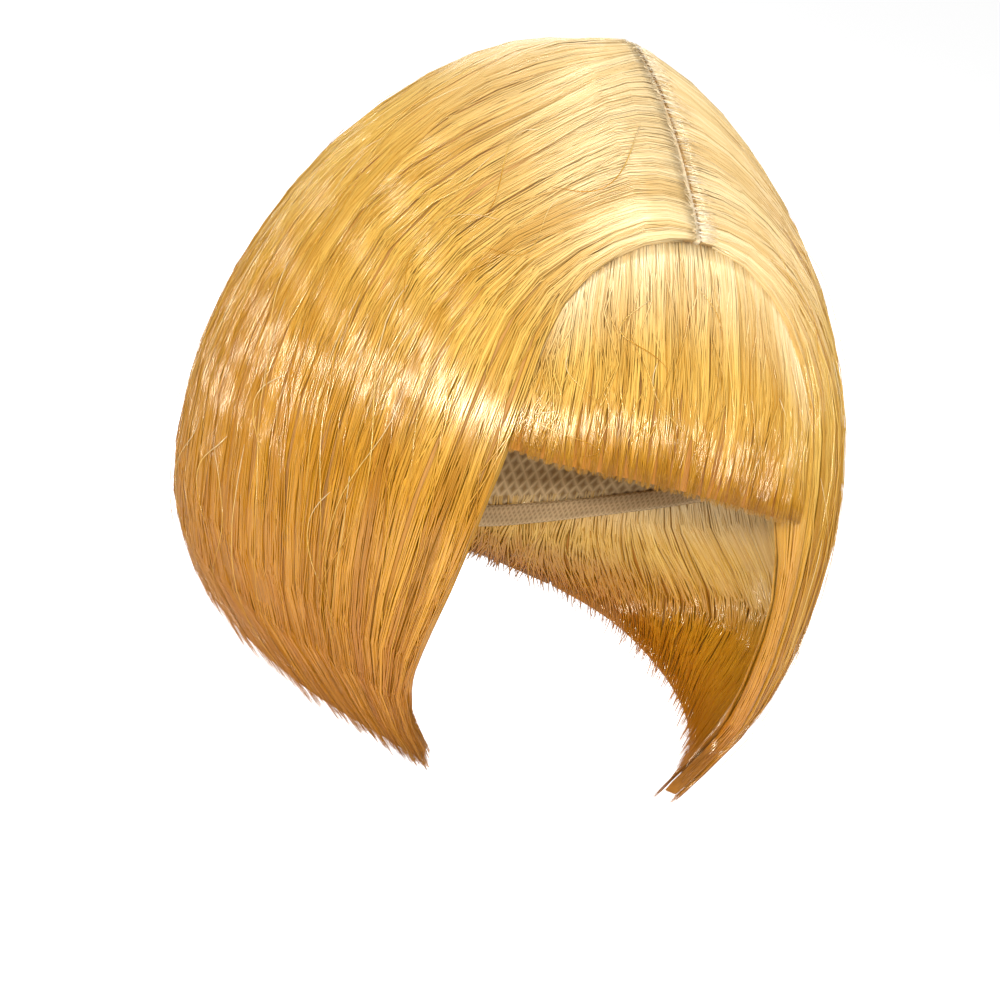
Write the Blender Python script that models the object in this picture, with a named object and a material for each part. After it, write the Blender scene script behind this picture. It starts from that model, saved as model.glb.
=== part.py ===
"""A blonde bob wig in its worn form, with a centre parting and a fringe, on a net cap.

Metres, +Z up. The face looks along -Y and the wearer's left is +X. The origin is the point
inside the cap's top where the crown of the head touches it. The hair is one level stack of
ovals, and each lock runs over that form from the parting to the hem.
"""

import math

import bpy
import numpy as np

# Hollow for the head and the net cap round it
HEAD_HALF_WIDTH = 0.077
HEAD_HALF_LENGTH = 0.095
HEAD_HEIGHT = 0.075
CAP_WALL = 0.002
CAP_FRONT_DROP = 0.048
CAP_NAPE_DROP = 0.148
CAP_NAPE_NARROWING = 0.18
BAND_HEIGHT = 0.008
BAND_WALL = 0.0026

# How far the hair's form stands off the cap, and how far it hangs
CROWN_VOLUME = 0.0505
SIDE_VOLUME = 0.042
FRONT_VOLUME = 0.012
BACK_VOLUME = 0.0356
HAIR_LENGTH = 0.120
FRINGE_DROP = 0.0286
FRINGE_TILT = 0.0035
FRINGE_CORNER_DROP = 0.0056

# Hair layers
HANG_WALL = 0.012
HEM_WALL = 0.005
LEDGE_DROP = 0.055
PANEL_EDGE_WALL = 0.005
FRINGE_WALL = 0.005
FRINGE_HEM_WALL = 0.003
LOCK_RELIEF = 0.0016
FRINGE_LOCK_RELIEF = 0.0010
LOCK_TIP = 0.003
FRINGE_LOCK_TIP = 0.0015
FRINGE_INSET = 0.0020
RIB_MEAN = 0.6
RIB_ROUNDNESS = 0.7
RIB_START = 0.25
EDGE_THINNING = 0.15
HEM_THINNING = 3
PARTING_LIP_RIGHT = 0.0030
PARTING_LIP_LEFT = 0.0006
PARTING_WIDTH = 0.0024
PARTING_RECESS = 0.0008
PARTING_END_GAP = 0.0006

# Clearances
GAP = 0.0003
SEAT_GAP = 0.0006

# How finely the forms are drawn
STRAND_ROWS = 15
COLUMNS_PER_LOCK = 4
SIDE_LOCKS = 9
FRINGE_LOCKS = 8
BACK_LOCKS = 6
FRINGE_SEAM_ROWS = 4
FRINGE_ROWS = 12
FRINGE_SPLIT = 3
FRINGE_TOP_FIT = 2 / 3
FRINGE_SIDE_FIT = 1 / 3
CAP_COLUMNS = 40
CAP_ROWS = 11
FINE_STEPS = 80

# The form of the hair. The level is a share of CROWN_VOLUME above the crown of the head, of
# HEAD_HEIGHT down to -1, and of HAIR_LENGTH below that. Width, front and back are shares of
# the form's half width and of its reach to the front and to the back.
SECTIONS = np.array(
    [
        # level, width, front, back
        (1.000, 0.000, -0.215, 0.176),
        (0.952, 0.082, -0.121, 0.253),
        (0.724, 0.311, 0.119, 0.513),
        (0.381, 0.504, 0.373, 0.678),
        (0.000, 0.658, 0.593, 0.798),
        (-0.333, 0.801, 0.762, 0.901),
        (-0.667, 0.898, 0.888, 0.958),
        (-1.025, 0.968, 0.956, 0.993),
        (-1.250, 1.000, 0.989, 1.000),
        (-1.458, 0.996, 1.000, 0.973),
        (-1.667, 0.958, 0.986, 0.945),
        (-1.917, 0.810, 0.978, 0.875),
        (-2.083, 0.660, 0.950, 0.760),
    ]
)

# How the locks lie. The root is a share of the parting, and over 1 it lies behind the crown.
# The turn is the lock's azimuth from the front, in degrees, where the hair is widest. The
# arch is the share of HEAD_HEIGHT over which it turns down from the parting. Below that its
# azimuth comes forward by the sweep, the later the larger the bend, and by the flick at the
# very tip. The hem is the tip's share of HAIR_LENGTH.
SIDE_FLOW = np.array(
    [
        # across, root, turn, arch, sweep, bend, flick, hem
        (0.000, 0.00, 32.0, 0.67, -11.0, 3.0, 8.0, 0.960),
        (0.045, 0.03, 37.0, 0.72, -7.0, 3.0, 8.0, 1.000),
        (0.145, 0.14, 48.5, 0.87, 4.0, 1.4, 5.0, 0.995),
        (0.280, 0.59, 63.0, 1.07, 11.0, 1.3, 6.0, 0.980),
        (0.430, 0.92, 79.0, 1.07, 16.0, 1.2, 7.0, 0.965),
        (0.550, 1.00, 92.0, 0.25, 16.0, 1.2, 7.0, 0.940),
        (0.770, 1.05, 115.0, 0.80, 11.0, 1.2, 6.0, 0.880),
        (1.000, 1.10, 140.0, 1.07, 6.0, 1.2, 3.0, 0.810),
    ]
)
BACK_FLOW = np.array(
    [
        # across, root, turn, arch, sweep, bend, flick, hem
        (0.000, 1.10, 140.0, 1.07, 6.0, 1.2, 3.0, 0.810),
        (0.500, 1.10, 160.0, 1.07, 3.0, 1.2, 0.0, 0.770),
        (1.000, 1.10, 180.0, 1.07, 0.0, 1.2, 0.0, 0.755),
    ]
)
PARTING_FRONT_LEVEL = 0.05
PARTING_BACK_LEVEL = 0.997
ARCH_POWER = 0.48
FLICK_START = 0.95
TUCK_START = 0.90
HEM_TUCK = 0.03
LIP_ENDS = (0.08, 0.60)

# Colour and roughness of each piece
FINISHES = {
    "side_right": ((0.72, 0.46, 0.15), 0.45),
    "side_left": ((0.70, 0.44, 0.14), 0.45),
    "back_hair": ((0.66, 0.40, 0.12), 0.45),
    "fringe": ((0.74, 0.49, 0.17), 0.45),
    "parting_strip": ((0.86, 0.70, 0.42), 0.45),
    "cap": ((0.62, 0.46, 0.26), 0.8),
    "edge_band": ((0.55, 0.38, 0.20), 0.7),
}


def smooth_curve(at, xs, ys):
    """Values at `at` of the monotone cubic through (xs, ys), with xs rising."""
    steps = np.diff(xs)
    slopes = np.diff(ys) / steps
    inner = np.zeros(len(xs))
    same = slopes[:-1] * slopes[1:] > 0
    weight_a = 2 * steps[1:] + steps[:-1]
    weight_b = steps[1:] + 2 * steps[:-1]
    safe_a = np.where(same, slopes[:-1], 1.0)
    safe_b = np.where(same, slopes[1:], 1.0)
    mean = (weight_a + weight_b) / (weight_a / safe_a + weight_b / safe_b)
    inner[1:-1] = np.where(same, mean, 0.0)
    inner[0] = slopes[0]
    inner[-1] = slopes[-1]
    at = np.clip(at, xs[0], xs[-1])
    index = np.clip(np.searchsorted(xs, at, side="right") - 1, 0, len(steps) - 1)
    step = steps[index]
    part = (at - xs[index]) / step
    start = ys[index]
    end = ys[index + 1]
    blend = part * part * (3 - 2 * part)
    bend_in = part * (1 - part) ** 2 * step * inner[index]
    bend_out = part * part * (part - 1) * step * inner[index + 1]
    return start + (end - start) * blend + bend_in + bend_out


def smooth_step(part):
    """A soft rise from 0 to 1 as part goes from 0 to 1."""
    part = np.clip(part, 0.0, 1.0)
    return part * part * (3 - 2 * part)


def height_of(level):
    """Height in metres of a level given in shares."""
    level = np.asarray(level, float)
    above = np.maximum(level, 0) * CROWN_VOLUME
    on_head = np.clip(level, -1, 0) * HEAD_HEIGHT
    below = np.minimum(level + 1, 0) * HAIR_LENGTH
    return above + on_head + below


def section_at(height):
    """(half width, centre y, half depth) of the hair's oval at a height."""
    depth_under_top = np.sqrt(np.maximum(CROWN_VOLUME - height, 0))
    rows = np.sqrt(CROWN_VOLUME - height_of(SECTIONS[:, 0]))
    half_width = HEAD_HALF_WIDTH + CAP_WALL + SIDE_VOLUME
    front_reach = HEAD_HALF_LENGTH + CAP_WALL + FRONT_VOLUME
    back_reach = HEAD_HALF_LENGTH + CAP_WALL + BACK_VOLUME
    width = half_width * smooth_curve(depth_under_top, rows, SECTIONS[:, 1])
    front = -front_reach * smooth_curve(depth_under_top, rows, SECTIONS[:, 2])
    back = back_reach * smooth_curve(depth_under_top, rows, SECTIONS[:, 3])
    return width, (front + back) / 2, (back - front) / 2


def form_point(turn, height):
    """Points on the hair's form at azimuths in radians from the front, towards -X."""
    width, centre, depth = section_at(height)
    return np.stack(
        [-width * np.sin(turn), centre - depth * np.cos(turn), height + 0 * turn], -1
    )


def root_of(share):
    """(height, azimuth) where a lock leaves the parting, or the line behind the crown."""
    levels = PARTING_FRONT_LEVEL + share * (PARTING_BACK_LEVEL - PARTING_FRONT_LEVEL)
    behind = 2 * PARTING_BACK_LEVEL - levels
    level = np.where(share <= 1, levels, behind)
    return height_of(level), np.where(share <= 1, 0.0, math.pi)


def strand(flow, across, root_x, tip):
    """One lock's line on the form, root to tip, as points an equal length apart.

    Args: the flow table, the place across it, how far the root lies from the middle plane,
    and how much longer than the hem this lock is.
    """
    root, turn, arch, sweep, bend, flick, hem = (
        smooth_curve(across, flow[:, 0], flow[:, column]) for column in range(1, 8)
    )
    start_height, start_turn = root_of(root)
    start_width = section_at(start_height)[0]
    away = math.asin(min(1.0, root_x / max(start_width, root_x)))
    start_turn = abs(start_turn - away)
    end_height = -HEAD_HEIGHT - hem * HAIR_LENGTH - tip
    part = np.linspace(0, 1, FINE_STEPS)
    height = start_height + (end_height - start_height) * part**2
    fall = np.clip((start_height - height) / (arch * HEAD_HEIGHT), 0, 1)
    turned = np.sin(math.pi / 2 * fall**ARCH_POWER)
    late = np.clip((HEAD_HEIGHT / 2 + height) / (HEAD_HEIGHT / 2 + end_height), 0, 1) ** bend
    last = smooth_step((part - FLICK_START) / (1 - FLICK_START))
    azimuth = start_turn + (math.radians(turn) - start_turn) * turned
    azimuth = azimuth - math.radians(sweep) * late - math.radians(flick) * last
    line = form_point(azimuth, height)
    tuck = HEM_TUCK * smooth_step((part - TUCK_START) / (1 - TUCK_START))
    line[:, :2] *= (1 - tuck)[:, None]
    return evenly(line, STRAND_ROWS)


def evenly(line, count):
    """The line cut into count stretches of equal length."""
    lengths = np.linalg.norm(np.diff(line, axis=0), axis=1)
    along = np.concatenate([[0], np.cumsum(lengths)])
    wanted = np.linspace(0, along[-1], count + 1)
    return np.stack([np.interp(wanted, along, line[:, axis]) for axis in range(3)], -1)


def heart_of(points):
    """The point on the head's axis that each point looks at: its middle, or its own level."""
    heart = np.zeros_like(points)
    heart[..., 2] = np.minimum(points[..., 2], -HEAD_HEIGHT)
    return heart


def narrowing(height):
    """How much the cap narrows below its widest level."""
    share = (-HEAD_HEIGHT - height) / (CAP_NAPE_DROP - HEAD_HEIGHT)
    return 1 - CAP_NAPE_NARROWING * np.clip(share, 0, 1) ** 2


def rim_height(azimuth):
    """Height of the cap's rim at an azimuth: the hairline, over the ears and the nape."""
    turned = (1 - np.cos(azimuth)) / 2
    return -CAP_FRONT_DROP - (CAP_NAPE_DROP - CAP_FRONT_DROP) * turned


def under_side(outer, walls):
    """Inner points of a hair layer: on the cap above its rim, and a wall's depth below it."""
    heart = heart_of(outer)
    ray = outer - heart
    reach = CAP_WALL + SEAT_GAP
    narrow = narrowing(outer[..., 2])
    scaled = np.stack(
        [
            ray[..., 0] / (HEAD_HALF_WIDTH + reach) / narrow,
            ray[..., 1] / (HEAD_HALF_LENGTH + reach) / narrow,
            ray[..., 2] / (HEAD_HEIGHT + reach),
        ],
        -1,
    )
    on_cap = 1 / np.linalg.norm(scaled, axis=-1)
    hanging = 1 - walls / np.linalg.norm(ray, axis=-1)
    rim = rim_height(np.arctan2(ray[..., 0], -ray[..., 1]))
    free = smooth_step((rim - outer[..., 2]) / LEDGE_DROP)
    share = on_cap * (1 - free) + hanging * free
    return heart + ray * share[..., None]


def ribbed(outer, across, locks, relief):
    """The outer points with a rounded rib for each lock, growing out of the root."""
    ray = outer - heart_of(outer)
    ray = ray / np.linalg.norm(ray, axis=-1, keepdims=True)
    rib = np.abs(np.sin(math.pi * across * locks)) ** RIB_ROUNDNESS - RIB_MEAN
    along = smooth_step(np.linspace(0, 1, outer.shape[1]) / RIB_START)
    return outer + ray * (relief * rib[:, None] * along[None, :])[..., None]


def shell(name, outer, inner):
    """A closed solid between two grids of points, columns by rows."""
    columns, rows = outer.shape[:2]
    points = np.concatenate([outer.reshape(-1, 3), inner.reshape(-1, 3)])
    layer = columns * rows

    def corner(column, row, side):
        return side * layer + column * rows + row

    faces = []
    for column in range(columns - 1):
        for row in range(rows - 1):
            square = [(column, row), (column, row + 1), (column + 1, row + 1), (column + 1, row)]
            faces.append([corner(*place, 0) for place in square])
            faces.append([corner(*place, 1) for place in reversed(square)])
    loop = [(column, 0) for column in range(columns)]
    loop += [(columns - 1, row) for row in range(1, rows)]
    loop += [(column, rows - 1) for column in range(columns - 2, -1, -1)]
    loop += [(0, row) for row in range(rows - 2, 0, -1)]
    for here, there in zip(loop, loop[1:] + loop[:1]):
        wall = [corner(*here, 0), corner(*there, 0), corner(*there, 1), corner(*here, 1)]
        turned = wall if here > there else wall[1:] + wall[:1]
        faces.append([turned[0], turned[1], turned[2]])
        faces.append([turned[0], turned[2], turned[3]])
    return solid(name, points, faces)


def solid(name, points, faces):
    """A mesh object in the wig's collection, its faces turned outwards, in its own material."""
    mesh = bpy.data.meshes.new(name)
    mesh.from_pydata([tuple(point) for point in points], [], faces)
    fans = [[face[0], *face[k : k + 2]] for face in faces for k in range(1, len(face) - 1)]
    if np.linalg.det(points[fans]).sum() < 0:
        mesh.flip_normals()
    mesh.update()
    thing = bpy.data.objects.new(name, mesh)
    bpy.data.collections["disco_wig"].objects.link(thing)
    colour, roughness = FINISHES[name]
    material = bpy.data.materials.new(name)
    material.use_nodes = True
    shader = material.node_tree.nodes["Principled BSDF"]
    shader.inputs["Base Color"].default_value = (*colour, 1.0)
    shader.inputs["Roughness"].default_value = roughness
    shader.inputs["Metallic"].default_value = 0.0
    mesh.materials.append(material)
    return thing


def lock_tips(across, locks, longest):
    """How far each place across the hem hangs lower, so that each lock ends in a point."""
    return longest * np.abs(np.sin(math.pi * across * locks))


def side_grids(lip=0.0):
    """Outer and inner grids of a side, as on the wearer's right, with its lip at the parting."""
    count = SIDE_LOCKS * COLUMNS_PER_LOCK
    across = np.linspace(0, 1, count + 1)
    tips = lock_tips(across, SIDE_LOCKS, LOCK_TIP)
    root_x = PARTING_WIDTH / 2 + GAP
    smooth = np.stack([strand(SIDE_FLOW, place, root_x, tip) for place, tip in zip(across, tips)])
    outer = ribbed(smooth, across, SIDE_LOCKS, LOCK_RELIEF)
    along = np.linspace(0, 1, STRAND_ROWS + 1)
    thin = PANEL_EDGE_WALL + (HANG_WALL - PANEL_EDGE_WALL) * smooth_step(across / EDGE_THINNING)
    walls = HEM_WALL + (thin[:, None] - HEM_WALL) * (1 - along[None, :] ** HEM_THINNING)
    inner = under_side(smooth, walls)
    near_root = np.exp(-((along * STRAND_ROWS - 1) ** 2))
    ends = smooth_step(across / LIP_ENDS[0]) * smooth_step((LIP_ENDS[1] - across) / LIP_ENDS[0])
    outer[..., 2] += lip * ends[:, None] * near_root[None, :]
    for grid in (outer, inner):
        grid[..., 0] = np.minimum(grid[..., 0], -root_x)
        grid[:, 0, 0] = -root_x
    return outer, inner


def edge_shift(outer, towards):
    """Small steps off a shared edge, at right angles to it, towards a point."""
    along = np.gradient(outer, axis=0)
    ray = outer - heart_of(outer)
    step = np.cross(along, ray)
    step = step / np.linalg.norm(step, axis=-1, keepdims=True)
    facing = np.sign(((towards - outer) * step).sum(-1, keepdims=True))
    return step * facing * GAP


def build_back():
    """The hair behind the crown and over the nape, between the two sides."""
    count = BACK_LOCKS * COLUMNS_PER_LOCK
    across = np.linspace(0, 1, count + 1)
    tips = lock_tips(across, BACK_LOCKS, LOCK_TIP)
    root_x = PARTING_WIDTH / 2 + GAP
    half = [
        strand(BACK_FLOW, 2 * place, root_x * (1 - 2 * place), tip)
        for place, tip in zip(across[: count // 2 + 1], tips)
    ]
    mirror = np.array([-1, 1, 1])
    smooth = np.stack(half + [line * mirror for line in half[-2::-1]])
    outer = ribbed(smooth, across, BACK_LOCKS, LOCK_RELIEF)
    along = np.linspace(0, 1, STRAND_ROWS + 1)
    walls = HEM_WALL + (HANG_WALL - HEM_WALL) * (1 - along**HEM_THINNING)
    inner = under_side(smooth, np.broadcast_to(walls, smooth.shape[:2]))
    side_outer, side_inner = side_grids()
    shift = edge_shift(side_outer[-1], outer[count // 2, STRAND_ROWS // 2])
    root_drop = np.array([0, GAP, -GAP]) * (1 - along[:, None])
    for grid, seam in ((outer, side_outer[-1]), (inner, side_inner[-1])):
        right_error = seam + shift + root_drop - grid[0]
        left_error = right_error * mirror
        grid += (1 - across)[:, None, None] * right_error + across[:, None, None] * left_error
    return shell("back_hair", outer, inner)


def build_sides():
    """The wearer's right side, and the left side as its mirror image with a lower lip."""
    outer, inner = side_grids(PARTING_LIP_RIGHT)
    shell("side_right", outer, inner)
    outer, inner = side_grids(PARTING_LIP_LEFT)
    mirror = np.array([-1, 1, 1])
    shell("side_left", outer * mirror, inner * mirror)


def fringe_half(tilt):
    """Outer and inner grids of the fringe's half on the wearer's right, edge to middle.

    Args: how much higher than level this half's hem ends.
    """
    outer_side, inner_side = side_grids()
    middle_hem = -CAP_FRONT_DROP - FRINGE_DROP
    corner_hem = middle_hem + tilt - FRINGE_CORNER_DROP
    rows = np.arange(STRAND_ROWS + 1)
    corner_row = np.interp(-corner_hem, -outer_side[0, :, 2], rows)
    seam = FRINGE_SEAM_ROWS * FRINGE_SPLIT
    seam_rows = np.linspace(0, FRINGE_SEAM_ROWS, seam + 1)
    side_rows = np.linspace(FRINGE_SEAM_ROWS, corner_row, FRINGE_ROWS + 1)
    stops = np.concatenate([seam_rows, side_rows[1:]])
    edge, edge_inner = (
        np.stack([np.interp(stops, rows, grid[0, :, axis]) for axis in range(3)], -1)
        for grid in (outer_side, inner_side)
    )
    middle = form_point(np.array(0.0), np.array(-CAP_FRONT_DROP))
    shift = edge_shift(edge, middle)
    into = heart_of(edge) - edge
    into = into / np.linalg.norm(into, axis=-1, keepdims=True)
    edge = edge + shift + into * FRINGE_INSET
    edge_inner = edge_inner + shift
    part = np.linspace(0, 1, FRINGE_ROWS + 1)
    across = np.linspace(1, 0, seam + 1)
    tips = lock_tips(across, FRINGE_LOCKS / 2, FRINGE_LOCK_TIP)
    corner_turn = azimuth_of(edge[-1])
    half = []
    for index, place in enumerate(across):
        root = edge[seam - index]
        root_turn = azimuth_of(root)
        hem = middle_hem + tilt * place - FRINGE_CORNER_DROP * place**2 - tips[index]
        turn = root_turn + (corner_turn * place - root_turn) * part
        half.append(form_point(turn, root[2] + (hem - root[2]) * part))
    half = ribbed(np.stack(half), across, FRINGE_LOCKS / 2, FRINGE_LOCK_RELIEF)
    walls = FRINGE_WALL + (FRINGE_HEM_WALL - FRINGE_WALL) * part**2
    fit_to_edges(half, edge[seam::-1], edge[seam:], across, part)
    half_inner = under_side(half, np.broadcast_to(walls, half.shape[:2]))
    fit_to_edges(half_inner, edge_inner[seam::-1], edge_inner[seam:], across, part)
    return half, half_inner


def build_fringe():
    """The fringe, from the seam under the sides' front edges down to its hem."""
    mirror = np.array([-1, 1, 1])
    right = fringe_half(FRINGE_TILT)
    left = fringe_half(-FRINGE_TILT)
    outer, inner = (
        np.concatenate([near, far[-2::-1] * mirror]) for near, far in zip(right, left)
    )
    return shell("fringe", outer, inner)


def fit_to_edges(grid, top, side, across, part):
    """Moves a grid so that its first row lies on top and its first column on side."""
    top_error = (top - grid[:, 0])[:, None, :]
    side_error = (side - grid[0])[None, :, :]
    top_fade = (1 - smooth_step(part / FRINGE_TOP_FIT))[None, :, None]
    side_fade = smooth_step(1 - (1 - across) / FRINGE_SIDE_FIT)[:, None, None]
    both = top_error[:1] * top_fade * side_fade
    grid += top_error * top_fade + side_error * side_fade - both
    grid[-1, :, 0] = 0


def azimuth_of(point):
    """Azimuth from the front, towards -X, of a point on the form."""
    width, centre, depth = section_at(point[2])
    return math.atan2(-point[0] / width, -(point[1] - centre) / depth)


def build_parting():
    """The narrow web along the parting, from the cap up to the roots on both sides."""
    shares = np.linspace(0, SIDE_FLOW[-1, 1], STRAND_ROWS + 1)
    line = []
    for share in shares:
        height, turn = root_of(share)
        line.append(form_point(turn, height))
    line = np.array(line)
    line[:, 0] = 0
    foot = under_side(line, np.full(len(line), HANG_WALL))
    for end, step in ((0, PARTING_END_GAP), (-1, -PARTING_END_GAP)):
        line[end, 1] += step
        foot[end, 1] += step
    into = heart_of(line) - line
    top = line + PARTING_RECESS * into / np.linalg.norm(into, axis=-1, keepdims=True)
    half = np.array([PARTING_WIDTH / 2, 0, 0])
    outer = np.stack([top - half, top + half])
    inner = np.stack([foot - half, foot + half])
    return shell("parting_strip", outer, inner)


def cap_point(azimuth, height, offset):
    """A point of the cap's surface, offset outwards from the head."""
    rise = np.clip((height + HEAD_HEIGHT) / (HEAD_HEIGHT + offset), 0, 1)
    size = np.sqrt(1 - rise**2) * narrowing(height)
    return np.stack(
        [
            -(HEAD_HALF_WIDTH + offset) * size * np.sin(azimuth),
            -(HEAD_HALF_LENGTH + offset) * size * np.cos(azimuth),
            height + 0 * azimuth,
        ],
        -1,
    )


def build_cap():
    """The net base: an open dome from its rim up to the crown."""
    azimuths = np.linspace(0, 2 * math.pi, CAP_COLUMNS, endpoint=False)
    rim = (rim_height(azimuths) + HEAD_HEIGHT) / HEAD_HEIGHT
    lowest = np.where(rim > 0, np.arcsin(np.maximum(rim, 0)), rim)
    rings = []
    for offset in (CAP_WALL, 0.0):
        for row in range(CAP_ROWS):
            climb = lowest + (math.pi / 2 - lowest) * row / CAP_ROWS
            rise = np.where(climb > 0, np.sin(climb), climb)
            tall = HEAD_HEIGHT + np.where(climb > 0, offset * smooth_step(climb), 0)
            rings.append(cap_point(azimuths, -HEAD_HEIGHT + rise * tall, offset))
    points = np.concatenate(rings + [np.array([[0, 0, CAP_WALL], [0, 0, 0.0]])])
    faces = []

    def around(ring, column):
        return ring * CAP_COLUMNS + column % CAP_COLUMNS

    for column in range(CAP_COLUMNS):
        after = column + 1
        for first in (0, CAP_ROWS):
            for ring in range(first, first + CAP_ROWS - 1):
                square = [around(ring, column), around(ring, after)]
                square += [around(ring + 1, after), around(ring + 1, column)]
                faces.append(square if first == 0 else square[::-1])
            last = first + CAP_ROWS - 1
            pole = len(points) - 2 + (first > 0)
            top = [around(last, column), around(last, after), pole]
            faces.append(top if first == 0 else top[::-1])
        rim_face = [around(0, column), around(CAP_ROWS, column)]
        rim_face += [around(CAP_ROWS, after), around(0, after)]
        faces.append(rim_face)
    return solid("cap", points, faces)


def build_band():
    """The elastic binding that runs round the cap's rim."""
    azimuths = np.linspace(0, 2 * math.pi, CAP_COLUMNS, endpoint=False)
    top = rim_height(azimuths) - GAP
    corners = [
        (top, CAP_WALL),
        (top - BAND_HEIGHT, CAP_WALL),
        (top - BAND_HEIGHT, CAP_WALL - BAND_WALL),
        (top, CAP_WALL - BAND_WALL),
    ]
    points = np.concatenate([cap_point(azimuths, height, offset) for height, offset in corners])
    faces = []
    for column in range(CAP_COLUMNS):
        after = (column + 1) % CAP_COLUMNS
        for ring in range(4):
            low = ring * CAP_COLUMNS
            high = (ring + 1) % 4 * CAP_COLUMNS
            faces.append([low + column, low + after, high + after, high + column])
    return solid("edge_band", points, faces)


def main():
    """Clears the scene and builds the wig."""
    for thing in list(bpy.data.objects):
        bpy.data.objects.remove(thing)
    collection = bpy.data.collections.new("disco_wig")
    bpy.context.scene.collection.children.link(collection)
    build_cap()
    build_band()
    build_parting()
    build_fringe()
    build_sides()
    build_back()


main()
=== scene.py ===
"""Looks of a blonde bob wig in its worn form: hair, parting, net cap and elastic.

Metres, +Z up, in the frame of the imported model. The face side looks along -Y, the wearer's
left is +X, and the origin is the point inside the cap's top that the crown touches. Fibres
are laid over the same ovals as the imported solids, gathered in wisps and locks.
"""

import logging
import math
from dataclasses import dataclass
from enum import Enum

import bpy
import numpy as np
from mathutils import Matrix, Vector


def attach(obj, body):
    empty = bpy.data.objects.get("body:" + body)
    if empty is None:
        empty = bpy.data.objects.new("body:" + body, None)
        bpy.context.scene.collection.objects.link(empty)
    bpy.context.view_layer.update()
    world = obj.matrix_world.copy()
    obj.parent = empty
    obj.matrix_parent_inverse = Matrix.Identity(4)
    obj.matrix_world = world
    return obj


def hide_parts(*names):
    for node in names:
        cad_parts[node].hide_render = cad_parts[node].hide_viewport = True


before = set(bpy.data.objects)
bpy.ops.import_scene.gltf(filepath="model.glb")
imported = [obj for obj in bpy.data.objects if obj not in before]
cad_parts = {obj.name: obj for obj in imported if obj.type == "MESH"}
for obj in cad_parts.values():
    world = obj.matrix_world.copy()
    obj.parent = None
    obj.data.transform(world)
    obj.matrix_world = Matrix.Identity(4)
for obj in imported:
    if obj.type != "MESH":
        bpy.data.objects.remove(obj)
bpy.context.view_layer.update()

Array = np.ndarray
Colour = tuple[float, float, float]

LOG = logging.getLogger("wig")
BODY = "root"
BAKE_MAP = "OFBake"
MIRROR = np.array([-1.0, 1.0, 1.0])

# Shares of the form's sizes at each level: crown volume above 0, head height to -1, hair below
SECTIONS = np.array(
    [
        # level, width, front, back
        (1.000, 0.000, -0.215, 0.176),
        (0.952, 0.082, -0.121, 0.253),
        (0.724, 0.311, 0.119, 0.513),
        (0.381, 0.504, 0.373, 0.678),
        (0.000, 0.658, 0.593, 0.798),
        (-0.333, 0.801, 0.762, 0.901),
        (-0.667, 0.898, 0.888, 0.958),
        (-1.025, 0.968, 0.956, 0.993),
        (-1.250, 1.000, 0.989, 1.000),
        (-1.458, 0.996, 1.000, 0.973),
        (-1.667, 0.958, 0.986, 0.945),
        (-1.917, 0.810, 0.978, 0.875),
        (-2.083, 0.660, 0.950, 0.760),
    ]
)

# How the locks lie across a side and across half of the back
SIDE_FLOW = np.array(
    [
        # across, root, turn, arch, sweep, bend, flick, hem
        (0.000, 0.00, 32.0, 0.67, -11.0, 3.0, 8.0, 0.960),
        (0.045, 0.03, 37.0, 0.72, -7.0, 3.0, 8.0, 1.000),
        (0.145, 0.14, 48.5, 0.87, 4.0, 1.4, 5.0, 0.995),
        (0.280, 0.59, 63.0, 1.07, 11.0, 1.3, 6.0, 0.980),
        (0.430, 0.92, 79.0, 1.07, 16.0, 1.2, 7.0, 0.965),
        (0.550, 1.00, 92.0, 0.25, 16.0, 1.2, 7.0, 0.940),
        (0.770, 1.05, 115.0, 0.80, 11.0, 1.2, 6.0, 0.880),
        (1.000, 1.10, 140.0, 1.07, 6.0, 1.2, 3.0, 0.810),
    ]
)
BACK_FLOW = np.array(
    [
        # across, root, turn, arch, sweep, bend, flick, hem
        (0.000, 1.10, 140.0, 1.07, 6.0, 1.2, 3.0, 0.810),
        (0.500, 1.10, 160.0, 1.07, 3.0, 1.2, 0.0, 0.770),
        (1.000, 1.10, 180.0, 1.07, 0.0, 1.2, 0.0, 0.755),
    ]
)


class Slot(Enum):
    """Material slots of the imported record."""

    BLONDE = "blonde_fibre"
    PARTING = "parting_fibre"
    NET = "net"
    ELASTIC = "elastic"


class Hand(Enum):
    """Which side of the wearer a panel hangs on."""

    RIGHT = 1
    LEFT = -1


def ease(part: Array) -> Array:
    """A soft rise from 0 to 1 as part goes from 0 to 1."""
    part = np.clip(part, 0.0, 1.0)
    return part * part * (3 - 2 * part)


def unit(vectors: Array) -> Array:
    """The vectors at length 1."""
    return vectors / np.maximum(np.linalg.norm(vectors, axis=-1, keepdims=True), 1e-9)


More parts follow.
